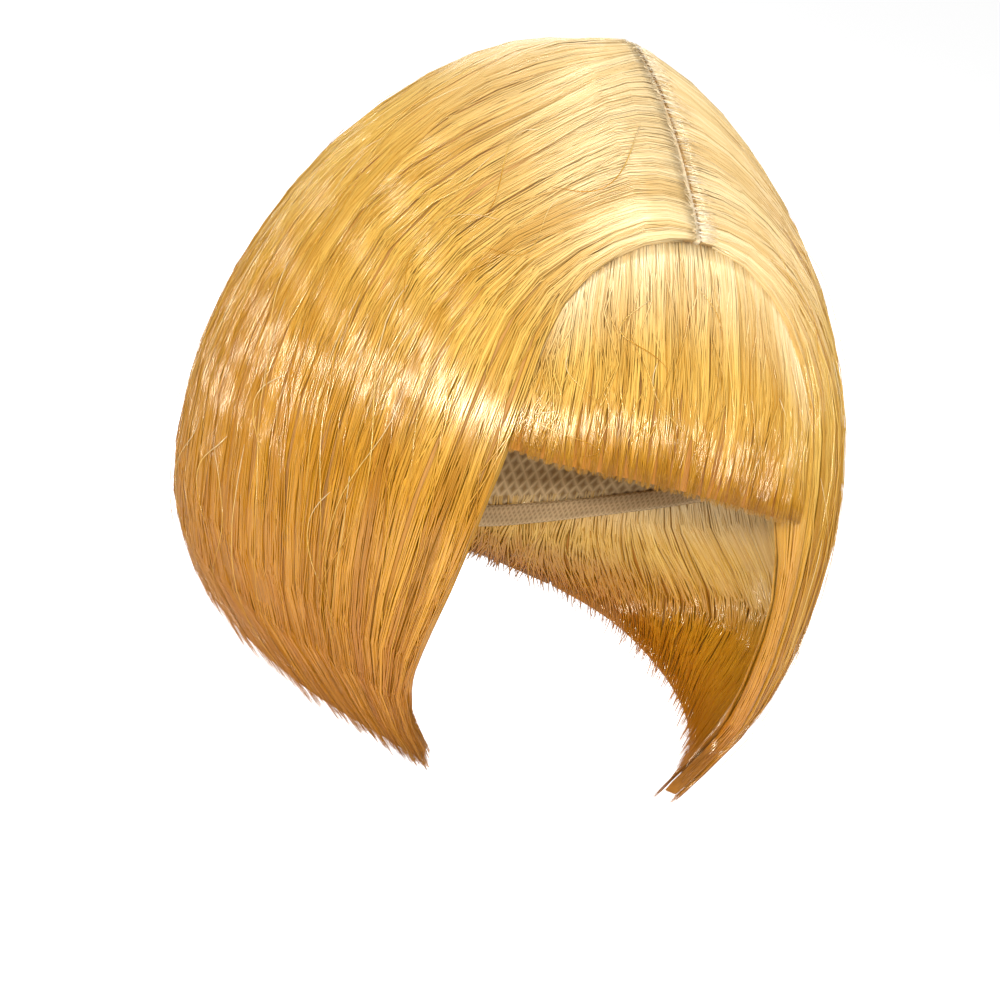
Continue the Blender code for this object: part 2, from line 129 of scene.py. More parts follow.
def smooth_curve(at: Array, xs: Array, ys: Array) -> Array:
    """Monotone cubic through a short table.

    Args:
        at: Where the curve is read.
        xs: Rising places of the table's rows.
        ys: Values of the table's rows.

    Returns:
        The curve's values at `at`.
    """
    steps = np.diff(xs)
    slopes = np.diff(ys) / steps
    same = slopes[:-1] * slopes[1:] > 0
    weight_a = 2 * steps[1:] + steps[:-1]
    weight_b = steps[1:] + 2 * steps[:-1]
    safe_a = np.where(same, slopes[:-1], 1.0)
    safe_b = np.where(same, slopes[1:], 1.0)
    mean = (weight_a + weight_b) / (weight_a / safe_a + weight_b / safe_b)
    bends = np.concatenate([slopes[:1], np.where(same, mean, 0.0), slopes[-1:]])
    at = np.clip(at, xs[0], xs[-1])
    index = np.clip(np.searchsorted(xs, at, side="right") - 1, 0, len(steps) - 1)
    step = steps[index]
    part = (at - xs[index]) / step
    rise = (ys[index + 1] - ys[index]) * part * part * (3 - 2 * part)
    bend_in = part * (1 - part) ** 2 * step * bends[index]
    bend_out = part * part * (part - 1) * step * bends[index + 1]
    return ys[index] + rise + bend_in + bend_out


@dataclass(frozen=True)
class WigForm:
    """Main form of the hair and of the cap under it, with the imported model's sizes."""

    head_half_width: float = 0.077
    head_half_length: float = 0.095
    head_height: float = 0.075
    cap_wall: float = 0.002
    front_drop: float = 0.048
    nape_drop: float = 0.148
    nape_narrowing: float = 0.18
    crown_volume: float = 0.0505
    side_volume: float = 0.042
    front_volume: float = 0.012
    back_volume: float = 0.0356
    hair_length: float = 0.120
    ledge_drop: float = 0.055
    seat_gap: float = 0.0006
    parting_half: float = 0.0015
    parting_front: float = 0.05
    parting_back: float = 0.997
    arch_power: float = 0.48
    flick_start: float = 0.95
    tuck_start: float = 0.90
    hem_tuck: float = 0.03
    fine_steps: int = 160

    def height_of(self, level: Array) -> Array:
        """Height of a level given in shares."""
        level = np.asarray(level, float)
        above = np.maximum(level, 0) * self.crown_volume
        on_head = np.clip(level, -1, 0) * self.head_height
        return above + on_head + np.minimum(level + 1, 0) * self.hair_length

    def section(self, height: Array) -> tuple[Array, Array, Array]:
        """Half width, centre y and half depth of the hair's oval at each height."""
        depth = np.sqrt(np.maximum(self.crown_volume - height, 0))
        rows = np.sqrt(self.crown_volume - self.height_of(SECTIONS[:, 0]))
        reaches = (
            self.head_half_width + self.cap_wall + self.side_volume,
            -(self.head_half_length + self.cap_wall + self.front_volume),
            self.head_half_length + self.cap_wall + self.back_volume,
        )
        width, front, back = (
            reach * smooth_curve(depth, rows, SECTIONS[:, column])
            for column, reach in enumerate(reaches, 1)
        )
        return width, (front + back) / 2, (back - front) / 2

    def point(self, turn: Array, height: Array) -> Array:
        """Points on the form at azimuths from the front, towards -X."""
        width, centre, depth = self.section(height)
        parts = [-width * np.sin(turn), centre - depth * np.cos(turn), height + 0 * turn]
        return np.stack(parts, -1)

    def azimuth(self, point: Array) -> float:
        """Azimuth from the front, towards -X, of a point on the form."""
        width, centre, depth = self.section(point[2])
        return math.atan2(-point[0] / width, -(point[1] - centre) / depth)

    def root(self, share: Array) -> tuple[Array, Array]:
        """Height and azimuth where a lock leaves the parting, or the line behind it."""
        level = self.parting_front + share * (self.parting_back - self.parting_front)
        level = np.where(share <= 1, level, 2 * self.parting_back - level)
        return self.height_of(level), np.where(share <= 1, 0.0, math.pi)

    def lines(self, flow: Array, across: Array, root_x: Array, tip: float, rows: int) -> Array:
        """Lines of locks on the form, root to tip.

        Args:
            flow: A flow table.
            across: Places across the table, one for each line.
            root_x: Distance of each root from the middle plane.
            tip: How much longer than the hem the lines are.
            rows: Number of equal stretches in a line.

        Returns:
            Points, as lines by rows + 1 by 3.
        """
        columns = (smooth_curve(across, flow[:, 0], flow[:, column]) for column in range(1, 8))
        root, turn, arch, sweep, bend, flick, hem = (column[:, None] for column in columns)
        start_height, start_turn = self.root(root)
        start_width = self.section(start_height)[0]
        root_x = np.broadcast_to(root_x, across.shape)[:, None]
        away = np.arcsin(np.minimum(1, root_x / np.maximum(start_width, np.maximum(root_x, 1e-9))))
        start_turn = np.abs(start_turn - away)
        end_height = -self.head_height - hem * self.hair_length - tip
        part = np.linspace(0, 1, self.fine_steps)[None, :]
        height = start_height + (end_height - start_height) * part**2
        fall = np.clip((start_height - height) / (arch * self.head_height), 0, 1)
        turned = np.sin(math.pi / 2 * fall**self.arch_power)
        middle = self.head_height / 2
        late = np.clip((middle + height) / (middle + end_height), 0, 1) ** bend
        last = ease((part - self.flick_start) / (1 - self.flick_start))
        azimuth = start_turn + (np.radians(turn) - start_turn) * turned
        azimuth = azimuth - np.radians(sweep) * late - np.radians(flick) * last
        line = self.point(azimuth, height)
        tuck = self.hem_tuck * ease((part - self.tuck_start) / (1 - self.tuck_start))
        line[..., :2] *= (1 - tuck)[..., None]
        return np.stack([evenly(each, rows) for each in line])

    def heart(self, points: Array) -> Array:
        """The point on the head's axis that each point looks at."""
        heart = np.zeros_like(points)
        heart[..., 2] = np.minimum(points[..., 2], -self.head_height)
        return heart

    def narrowing(self, height: Array) -> Array:
        """How much the cap narrows below its widest level."""
        share = (-self.head_height - height) / (self.nape_drop - self.head_height)
        return 1 - self.nape_narrowing * np.clip(share, 0, 1) ** 2

    def rim_height(self, azimuth: Array) -> Array:
        """Height of the cap's rim at each azimuth."""
        turned = (1 - np.cos(azimuth)) / 2
        return -self.front_drop - (self.nape_drop - self.front_drop) * turned

    def under_side(self, outer: Array, walls: Array) -> Array:
        """Inner points of a hair layer: on the cap above its rim, a wall's depth below it."""
        heart = self.heart(outer)
        ray = outer - heart
        reach = self.cap_wall + self.seat_gap
        narrow = self.narrowing(outer[..., 2])
        sizes = (
            (self.head_half_width + reach) * narrow,
            (self.head_half_length + reach) * narrow,
            self.head_height + reach + 0 * narrow,
        )
        on_cap = 1 / np.linalg.norm(ray / np.stack(sizes, -1), axis=-1)
        hanging = 1 - walls / np.linalg.norm(ray, axis=-1)
        rim = self.rim_height(np.arctan2(ray[..., 0], -ray[..., 1]))
        free = ease((rim - outer[..., 2]) / self.ledge_drop)
        return heart + ray * (on_cap * (1 - free) + hanging * free)[..., None]

    def cap_point(self, azimuth: Array, height: Array, offset: Array) -> Array:
        """Points of the cap's surface, offset outwards from the head."""
        rise = np.clip((height + self.head_height) / (self.head_height + offset), 0, 1)
        size = np.sqrt(1 - rise**2) * self.narrowing(height)
        across = -(self.head_half_width + offset) * size * np.sin(azimuth)
        along = -(self.head_half_length + offset) * size * np.cos(azimuth)
        return np.stack([across, along, height + 0 * azimuth], -1)


def evenly(line: Array, count: int) -> Array:
    """The line cut into count stretches of equal length."""
    lengths = np.linalg.norm(np.diff(line, axis=0), axis=1)
    along = np.concatenate([[0], np.cumsum(lengths)])
    wanted = np.linspace(0, along[-1], count + 1)
    return np.stack([np.interp(wanted, along, line[:, axis]) for axis in range(3)], -1)


class Panel:
    """A layer of hair as two grids of points, columns across by rows from root to hem."""

    def __init__(self, outer: Array, inner: Array, form: WigForm) -> None:
        """Keeps the grids and works out which way their surface faces."""
        self.outer = outer
        self.inner = inner
        normal = unit(np.cross(np.gradient(outer, axis=0), np.gradient(outer, axis=1)))
        ray = outer - form.heart(outer)
        facing = np.sign((normal * ray).sum(-1, keepdims=True))
        self.facing = unit(normal * facing)
        rim = form.rim_height(np.arctan2(ray[..., 0], -ray[..., 1]))
        self.below_rim = rim - outer[..., 2]

    def read(self, grid: Array, across: Array, along: Array) -> Array:
        """Values of a grid between its points.

        Args:
            grid: One of the panel's grids.
            across: Places across, 0 to 1.
            along: Places from root to hem, 0 to 1.

        Returns:
            The grid's values there.
        """
        columns, rows = grid.shape[:2]
        column = np.clip(across, 0, 1) * (columns - 1)
        row = np.clip(along, 0, 1) * (rows - 1)
        left = np.minimum(column.astype(int), columns - 2)
        low = np.minimum(row.astype(int), rows - 2)
        side = (column - left)[..., None]
        up = (row - low)[..., None]
        near = grid[left, low] * (1 - up) + grid[left, low + 1] * up
        far = grid[left + 1, low] * (1 - up) + grid[left + 1, low + 1] * up
        return near * (1 - side) + far * side

    def free_rows(self, above: float) -> Array:
        """Where each column comes within a height of the cap's rim, as a share of its length."""
        rows = self.below_rim.shape[1] - 1
        return np.argmax(self.below_rim > -above, axis=1) / rows

    def width(self) -> float:
        """Distance across the panel at its middle row."""
        row = self.outer[:, self.outer.shape[1] // 2]
        return float(np.linalg.norm(np.diff(row, axis=0), axis=1).sum())


@dataclass(frozen=True)
class PanelPlan:
    """Walls and edges of the hair layers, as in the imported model, and how finely they are drawn."""

    hang_wall: float = 0.012
    hem_wall: float = 0.005
    edge_wall: float = 0.005
    fringe_wall: float = 0.005
    fringe_hem_wall: float = 0.003
    fringe_drop: float = 0.0286
    fringe_tilt: float = 0.0035
    fringe_corner_drop: float = 0.0056
    fringe_inset: float = 0.0020
    tip: float = 0.003
    fringe_tip: float = 0.0015
    seam_share: float = 4 / 15
    lip_row: float = 1 / 15
    lip_right: float = 0.0030
    lip_left: float = 0.0006
    lip_ends: tuple[float, float] = (0.08, 0.60)
    gap: float = 0.0003
    columns: int = 144
    rows: int = 60
    fringe_columns: int = 48
    fringe_rows: int = 36

    def side(self, form: WigForm, lip: float) -> tuple[Array, Array]:
        """Outer and inner grids of a side, as on the wearer's right."""
        across = np.linspace(0, 1, self.columns + 1)
        outer = form.lines(SIDE_FLOW, across, np.full(across.shape, form.parting_half), self.tip, self.rows)
        along = np.linspace(0, 1, self.rows + 1)
        thin = self.edge_wall + (self.hang_wall - self.edge_wall) * ease(across / 0.15)
        walls = self.hem_wall + (thin[:, None] - self.hem_wall) * (1 - along[None, :] ** 3)
        inner = form.under_side(outer, walls)
        near_root = np.exp(-((along / self.lip_row - 1) ** 2))
        ends = ease(across / self.lip_ends[0]) * ease((self.lip_ends[1] - across) / self.lip_ends[0])
        outer[..., 2] += lip * ends[:, None] * near_root[None, :]
        for grid in (outer, inner):
            grid[..., 0] = np.minimum(grid[..., 0], -form.parting_half)
            grid[:, 0, 0] = -form.parting_half
        return outer, inner

    def back(self, form: WigForm) -> tuple[Array, Array]:
        """Outer and inner grids of the hair behind the crown and over the nape."""
        across = np.linspace(0, 1, self.columns + 1)
        half = across[: self.columns // 2 + 1]
        root_x = form.parting_half * (1 - 2 * half)
        lines = form.lines(BACK_FLOW, 2 * half, root_x, self.tip, self.rows)
        outer = np.concatenate([lines, lines[-2::-1] * MIRROR])
        along = np.linspace(0, 1, self.rows + 1)
        walls = self.hem_wall + (self.hang_wall - self.hem_wall) * (1 - along**3)
        inner = form.under_side(outer, np.broadcast_to(walls, outer.shape[:2]))
        side_outer, side_inner = self.side(form, 0.0)
        for grid, seam in ((outer, side_outer[-1]), (inner, side_inner[-1])):
            error = seam - grid[0]
            grid += (1 - across)[:, None, None] * error + across[:, None, None] * (error * MIRROR)
        return outer, inner

    def fringe_half(self, form: WigForm, tilt: float) -> tuple[Array, Array]:
        """Outer and inner grids of the fringe's half on the wearer's right, edge to middle.

        Args:
            form: The wig's form.
            tilt: How much higher than level this half's hem ends.

        Returns:
            The two grids.
        """
        side_outer, side_inner = self.side(form, 0.0)
        middle_hem = -form.front_drop - self.fringe_drop
        corner_hem = middle_hem + tilt - self.fringe_corner_drop
        shares = np.linspace(0, 1, self.rows + 1)
        corner = np.interp(-corner_hem, -side_outer[0, :, 2], shares)
        seam = self.fringe_columns
        top_stops = np.linspace(0, self.seam_share, seam + 1)
        side_stops = np.linspace(self.seam_share, corner, self.fringe_rows + 1)
        stops = np.concatenate([top_stops, side_stops[1:]])
        edge, edge_inner = (
            np.stack([np.interp(stops, shares, grid[0, :, axis]) for axis in range(3)], -1)
            for grid in (side_outer, side_inner)
        )
        edge = edge + unit(form.heart(edge) - edge) * self.fringe_inset
        part = np.linspace(0, 1, self.fringe_rows + 1)
        across = np.linspace(1, 0, seam + 1)
        corner_turn = form.azimuth(edge[-1])
        half = []
        for index, place in enumerate(across):
            root = edge[seam - index]
            root_turn = form.azimuth(root)
            drop = self.fringe_corner_drop * place**2 + self.fringe_tip
            hem = middle_hem + tilt * place - drop
            turn = root_turn + (corner_turn * place - root_turn) * part
            half.append(form.point(turn, root[2] + (hem - root[2]) * part))
        half = np.stack(half)
        walls = self.fringe_wall + (self.fringe_hem_wall - self.fringe_wall) * part**2
        self.fit_to_edges(half, edge[seam::-1], edge[seam:], across, part)
        half_inner = form.under_side(half, np.broadcast_to(walls, half.shape[:2]))
        self.fit_to_edges(half_inner, edge_inner[seam::-1], edge_inner[seam:], across, part)
        return half, half_inner

    def fringe(self, form: WigForm) -> tuple[Array, Array]:
        """Outer and inner grids of the fringe, from the wearer's right to the left."""
        right = self.fringe_half(form, self.fringe_tilt)
        left = self.fringe_half(form, -self.fringe_tilt)
        grids = [np.concatenate([near, far[-2::-1] * MIRROR]) for near, far in zip(right, left)]
        return grids[0], grids[1]

    @staticmethod
    def fit_to_edges(grid: Array, top: Array, side: Array, across: Array, part: Array) -> None:
        """Moves a grid so that its first row lies on top and its first column on side."""
        top_error = (top - grid[:, 0])[:, None, :]
        side_error = (side - grid[0])[None, :, :]
        top_fade = (1 - ease(part * 1.5))[None, :, None]
        side_fade = ease(across * 3 - 2)[:, None, None]
        both = top_error[:1] * top_fade * side_fade
        grid += top_error * top_fade + side_error * side_fade - both
        grid[-1, :, 0] = 0


def make_piece(
    name: str, points: Array, faces: list[Array], marks: list[Array], flat: list[bool] | None = None
) -> bpy.types.Object:
    """A smooth mesh object from arrays.

    Args:
        name: The piece's name.
        points: Its points.
        faces: Arrays of faces, each with as many columns as its faces have corners.
        marks: For each of those arrays, the bake map's place of every corner.
        flat: For each of those arrays, whether its faces are shaded flat.

    Returns:
        The linked object.
    """
    mesh = bpy.data.meshes.new(name)
    corners = [face for group in faces for face in group.tolist()]
    mesh.from_pydata(points.tolist(), [], corners)
    layer = mesh.uv_layers.new(name=BAKE_MAP)
    spots = np.concatenate([group.reshape(-1, 2) for group in marks])
    layer.uv.foreach_set("vector", spots.astype(np.float32).ravel())
    smooth = [not (flat and flat[index]) for index, group in enumerate(faces) for _ in group]
    mesh.polygons.foreach_set("use_smooth", smooth)
    mesh.update()
    piece = bpy.data.objects.new(name, mesh)
    bpy.context.scene.collection.objects.link(piece)
    return piece


def settle(piece: bpy.types.Object, material: bpy.types.Material, slot: Slot, *nodes: str) -> None:
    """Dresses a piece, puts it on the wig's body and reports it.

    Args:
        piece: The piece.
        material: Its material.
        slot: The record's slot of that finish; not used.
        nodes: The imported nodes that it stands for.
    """
    piece.data.materials.append(material)
    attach(piece, BODY)
    if nodes:
        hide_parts(*nodes)
    triangles = sum(len(polygon.vertices) - 2 for polygon in piece.data.polygons)
    LOG.info("%s: %d triangles", piece.name, triangles)


def closed_layer(name: str, outer: Array, inner: Array) -> bpy.types.Object:
    """A closed shell between two grids, with the outer face in the map's left half."""
    columns, rows = outer.shape[:2]
    points = np.concatenate([outer.reshape(-1, 3), inner.reshape(-1, 3)])
    layer = columns * rows
    column, row = np.meshgrid(np.arange(columns), np.arange(rows), indexing="ij")
    across = column / (columns - 1)
    along = row / (rows - 1)
    outer_map = np.stack([0.01 + 0.47 * across, 0.02 + 0.97 * along], -1)
    inner_map = np.stack([0.99 - 0.47 * across, 0.01 + 0.97 * along], -1)
    places = np.concatenate([outer_map.reshape(-1, 2), inner_map.reshape(-1, 2)])
    here = (column * rows + row)[:-1, :-1].ravel()
    square = np.stack([here, here + 1, here + rows + 1, here + rows], -1)
    ring = np.concatenate(
        [
            np.arange(columns) * rows,
            (columns - 1) * rows + np.arange(1, rows),
            np.arange(columns - 2, -1, -1) * rows + rows - 1,
            np.arange(rows - 2, 0, -1),
        ]
    )
    after = np.roll(ring, -1)
    wall = np.stack([ring, after, after + layer, ring + layer], -1)
    faces = np.concatenate([square, square[:, ::-1] + layer, wall])
    shape = points[faces]
    middle = points.mean(0)
    first = np.cross(shape[:, 1] - shape[:, 0], shape[:, 2] - shape[:, 0])
    second = np.cross(shape[:, 2] - shape[:, 0], shape[:, 3] - shape[:, 0])
    if ((first + second) * (shape.mean(1) - middle)).sum() < 0:
        faces = faces[:, ::-1]
    piece = make_piece(name, points, [faces], [places[faces]])
    piece.data.set_sharp_from_angle(angle=math.radians(60))
    return piece


@dataclass(frozen=True)
class FibreTube:
    """Cross-section of a drawn fibre: a low, rounded roof on a flat foot."""

    tone_columns: int = 200
    height_share: float = 0.36
    root_share: float = 0.45
    tip_share: float = 0.12
    root_run: float = 0.04
    tip_run: float = 0.22

    def taper(self, along: Array) -> Array:
        """Width of a fibre at each place along it, as a share of its full width."""
        root = self.root_share + (1 - self.root_share) * ease(along / self.root_run)
        tip = self.tip_share + (1 - self.tip_share) * ease((1 - along) / self.tip_run)
        return root * tip

    def build(
        self, name: str, lines: Array, facing: Array, widths: Array, tones: Array, run: float = 1.0
    ) -> bpy.types.Object:
        """A mesh of many fibres.

        Args:
            name: The piece's name.
            lines: Points of the fibres, fibres by rings by 3.
            facing: The way that each point's roof looks.
            widths: Full width of each fibre.
            tones: Tone of each fibre, 0 deep to 1 pale.
            run: How far down the colour's ramp the tips lie.

        Returns:
            The object.
        """
        count, rings = lines.shape[:2]
        steps = np.linalg.norm(np.diff(lines, axis=1), axis=2)
        along = np.concatenate([np.zeros((count, 1)), np.cumsum(steps, axis=1)], axis=1)
        along = along / along[:, -1:]
        heading = unit(np.gradient(lines, axis=1))
        side = unit(np.cross(heading, facing))
        roof = unit(np.cross(side, heading))
        width = (widths[:, None] * self.taper(along))[..., None]
        foot = side * width / 2
        top = roof * width * self.height_share
        points = np.stack([lines - foot, lines + top, lines + foot], 2).reshape(-1, 3)
        column = np.clip((tones * self.tone_columns).astype(int), 0, self.tone_columns - 1)
        inside = np.array([0.15, 0.5, 0.85])
        u = (column[:, None, None] + inside[None, None, :]) / self.tone_columns
        v = 0.01 + 0.97 * run * along[:, :, None]
        places = np.stack(np.broadcast_arrays(u, v), -1).reshape(-1, 2)
        start = (np.arange(count)[:, None] * rings + np.arange(rings - 1)[None, :]).ravel() * 3
        roofs, feet = (
            np.concatenate(
                [np.stack([start + a, start + b, start + 3 + b, start + 3 + a], -1) for a, b in pairs]
            )
            for pairs in (((0, 1), (1, 2)), ((2, 0),))
        )
        root = np.arange(count) * rings * 3
        tip = root + (rings - 1) * 3
        ends = np.concatenate(
            [np.stack([root + 2, root + 1, root], -1), np.stack([tip, tip + 1, tip + 2], -1)]
        )
        end_marks = places[ends]
        end_marks[:, 1, 1] += 0.008
        marks = [places[roofs], places[feet], end_marks]
        return make_piece(name, points, [roofs, feet, ends], marks, [False, True, True])


@dataclass(frozen=True)
class Styling:
    """How the fibres of one panel are spread, gathered and laid."""

    count: int
    locks: int
    wisps: int
    seed: int
    width: float = 0.00068
    lock_lift: float = 0.0008
    wisp_lift: float = 0.0003
    depth_spread: float = 0.00035
    lock_gather: float = 0.10
    wisp_gather: float = 0.30
    wander: float = 0.0012
    stray_share: float = 0.05
    stray_wander: float = 0.006
    stray_lift: float = 0.0012
    under_share: float = 0.18
    under_depth: float = 0.0035
    tip_scatter: float = 0.012
    wisp_point: float = 0.010
    tone_mean: float = 0.5
    tone_spread: float = 0.18
    stops: tuple[float, ...] = (
        0, 0.018, 0.045, 0.085, 0.13, 0.185, 0.25, 0.32, 0.39, 0.46, 0.53, 0.60, 0.67, 0.74, 0.81, 0.88, 0.945, 1,
    )
    stop_shift: float = 0.012

    def middles(self, count: int, rng: np.random.Generator) -> Array:
        """Uneven middles of locks or wisps across a panel."""
        return (np.arange(count) + 0.5 + rng.uniform(-0.35, 0.35, count)) / count

    def lay(self, panel: Panel, tube: FibreTube, name: str, run: float) -> bpy.types.Object:
        """Lays the fibres over a panel.

        Args:
            panel: The panel.
            tube: The fibre's cross-section.
            name: The piece's name.
            run: How far down the colour's ramp the hem lies.

        Returns:
            The object.
        """
        rng = np.random.default_rng(self.seed)
        place = (np.arange(self.count) + rng.uniform(0, 1, self.count)) / self.count
        locks = self.middles(self.locks, rng)
        wisps = self.middles(self.wisps, rng)
        lock = np.abs(place[:, None] - locks[None, :]).argmin(1)
        wisp = np.abs(place[:, None] - wisps[None, :]).argmin(1)
        in_lock = (place - locks[lock]) * self.locks * 2
        in_wisp = (place - wisps[wisp]) * self.wisps * 2
        stray = rng.uniform(size=self.count) < self.stray_share
        under = rng.uniform(size=self.count) < self.under_share
        short = self.tip_scatter * rng.uniform(0, 1, self.count) ** 2
        short += self.tip_scatter * rng.uniform(0, 1, self.wisps)[wisp]
        short += self.wisp_point * np.minimum(np.abs(in_wisp), 1)
        stops = np.array(self.stops)[None, :]
        shift = rng.uniform(-1, 1, (self.count, 1)) * self.stop_shift
        stops = stops + shift * np.sin(math.pi * stops)
        along = stops * (1 - short[:, None])
        gather = ease((along - 0.3) / 0.7)
        across = place[:, None] + (locks[lock] - place)[:, None] * self.lock_gather * gather
        across = across + (wisps[wisp] - place)[:, None] * self.wisp_gather * gather
        across = across + self.drift(along, wisp, stray, rng) / panel.width()
        depth = self.depths(along, in_lock, in_wisp, lock, wisp, stray, under, rng)
        points = panel.read(panel.outer, across, along)
        facing = panel.read(panel.facing, across, along)
        tones = self.tone_mean + self.tone_spread * rng.normal(size=self.count)
        tones += self.tone_spread * rng.normal(size=self.locks)[lock] * 0.6
        tones += self.tone_spread * rng.normal(size=self.wisps)[wisp] * 0.8
        widths = self.width * rng.uniform(0.7, 1.15, self.count)
        lines = points + unit(facing) * depth[..., None]
        return tube.build(name, lines, unit(facing), widths, np.clip(tones, 0, 0.999), run)

    def drift(self, along: Array, wisp: Array, stray: Array, rng: np.random.Generator) -> Array:
        """How far fibres wander sideways along their run, in metres."""
        count = len(wisp)
        wave = rng.uniform(0.6, 1.5, self.wisps)[wisp][:, None] * along
        phase = rng.uniform(0, 1, self.wisps)[wisp][:, None]
        together = np.sin(2 * math.pi * (wave + phase)) * self.wander
        own = np.sin(2 * math.pi * (rng.uniform(0.5, 2.2, (count, 1)) * along + rng.uniform(0, 1, (count, 1))))
        size = np.where(stray, self.stray_wander, self.wander * 0.6)[:, None]
        return (together + own * size) * ease(along / 0.25)

    def depths(
        self,
        along: Array,
        in_lock: Array,
        in_wisp: Array,
        lock: Array,
        wisp: Array,
        stray: Array,
        under: Array,
        rng: np.random.Generator,
    ) -> Array:
        """How far fibres lie off the form, in metres, with locks and wisps rounded."""
        count = len(wisp)
        risen = ease(along / 0.2)
        round_lock = (1 - np.clip(in_lock, -1, 1) ** 2)[:, None] - 0.66
        round_wisp = (1 - np.clip(in_wisp, -1, 1) ** 2)[:, None] - 0.66
        depth = risen * (round_lock * self.lock_lift + round_wisp * self.wisp_lift)
        depth = depth + risen * rng.uniform(-1, 1, self.wisps)[wisp][:, None] * self.wisp_lift * 0.6
        depth = depth + risen * rng.uniform(-1, 1, self.locks)[lock][:, None] * self.lock_lift * 0.4
        depth = depth + rng.uniform(-1, 1, (count, 1)) * self.depth_spread
        wave = np.sin(math.pi * np.clip(along, 0, 1))
        depth = depth + stray[:, None] * wave * self.stray_lift * rng.uniform(0.3, 1, (count, 1))
        below = ease((along - 0.86) / 0.14) * self.under_depth * rng.uniform(0.2, 1, (count, 1))
        return depth - under[:, None] * (below + 0.0006)


@dataclass(frozen=True)
class InnerStyling:
    """Fibres on the hidden face of a hanging layer, seen through the face opening."""

    count: int
    seed: int
    width: float = 0.0011
    above_rim: float = 0.012
    depth_spread: float = 0.0008
    wander: float = 0.0020
    clearance: float = 0.0006
    rings: int = 10

    def lay(self, panel: Panel, tube: FibreTube, name: str, run: float) -> bpy.types.Object:
        """Lays the fibres over the inner grid of a panel.

        Args:
            panel: The panel.
            tube: The fibre's cross-section.
            name: The piece's name.
            run: How far down the colour's ramp the hem lies.

        Returns:
            The object.
        """
        rng = np.random.default_rng(self.seed)
        place = (np.arange(self.count) + rng.uniform(0, 1, self.count)) / self.count
        starts = panel.free_rows(self.above_rim)
        begin = np.interp(place, np.linspace(0, 1, len(starts)), starts)[:, None]
        end = 1 - rng.uniform(0, 0.03, self.count)
        share = np.linspace(0, 1, self.rings)[None, :]
        along = begin + (end[:, None] - begin) * share
        wave = np.sin(2 * math.pi * (rng.uniform(0.5, 1.5, (self.count, 1)) * share + place[:, None] * 7))
        across = place[:, None] + wave * self.wander / panel.width()
        facing = -panel.read(panel.facing, across, along)
        lift = self.clearance + rng.uniform(0, 1, (self.count, 1)) * self.depth_spread
        lines = panel.read(panel.inner, across, along) + unit(facing) * lift[..., None]
        widths = self.width * rng.uniform(0.7, 1.1, self.count)
        tones = np.clip(0.35 + 0.2 * rng.normal(size=self.count), 0, 0.999)
        return tube.build(name, lines, unit(facing), widths, tones, run)


def new_material(name: str) -> tuple[bpy.types.Material, bpy.types.NodeTree, bpy.types.Node]:
    """A new material, its node tree and its Principled shader."""
    material = bpy.data.materials.new(name)
    material.use_nodes = True
    tree = material.node_tree
    return material, tree, tree.nodes["Principled BSDF"]


class Wires:
    """Short ways to place and join nodes in one tree."""

    def __init__(self, tree: bpy.types.NodeTree) -> None:
        """Keeps the tree."""
        self.tree = tree

    def node(self, kind: str, **settings: object) -> bpy.types.Node:
        """A new node with the settings given."""
        node = self.tree.nodes.new(kind)
        for name, value in settings.items():
            setattr(node, name, value)
        return node

    def feed(self, socket: bpy.types.NodeSocket, value: object) -> None:
        """Joins an output to a socket, or sets the socket's value."""
        if isinstance(value, bpy.types.NodeSocket):
            self.tree.links.new(value, socket)
        else:
            socket.default_value = value

    def math(self, operation: str, *values: object) -> bpy.types.NodeSocket:
        """The output of a Math node."""
        node = self.node("ShaderNodeMath", operation=operation)
        for socket, value in zip(node.inputs, values):
            self.feed(socket, value)
        return node.outputs[0]

    def combine(self, *values: object) -> bpy.types.NodeSocket:
        """A vector from numbers."""
        node = self.node("ShaderNodeCombineXYZ")
        for socket, value in zip(node.inputs, values):
            self.feed(socket, value)
        return node.outputs[0]

    def ramp(self, factor: object, stops: list[tuple[float, Colour]]) -> bpy.types.NodeSocket:
        """The colour of a ramp."""
        node = self.node("ShaderNodeValToRGB")
        node.color_ramp.interpolation = "EASE"
        points = node.color_ramp.elements
        while len(points) < len(stops):
            points.new(0.5)
        for point, (place, colour) in zip(points, stops):
            point.position = place
            point.color = (*colour, 1.0)
        self.feed(node.inputs[0], factor)
        return node.outputs[0]

    def mix(self, factor: object, first: object, second: object, blend: str = "MIX") -> bpy.types.NodeSocket:
        """The colour of a Mix node."""
        node = self.node("ShaderNodeMix", data_type="RGBA", blend_type=blend)
        self.feed(node.inputs[0], factor)
        self.feed(node.inputs[6], first)
        self.feed(node.inputs[7], second)
        return node.outputs[2]


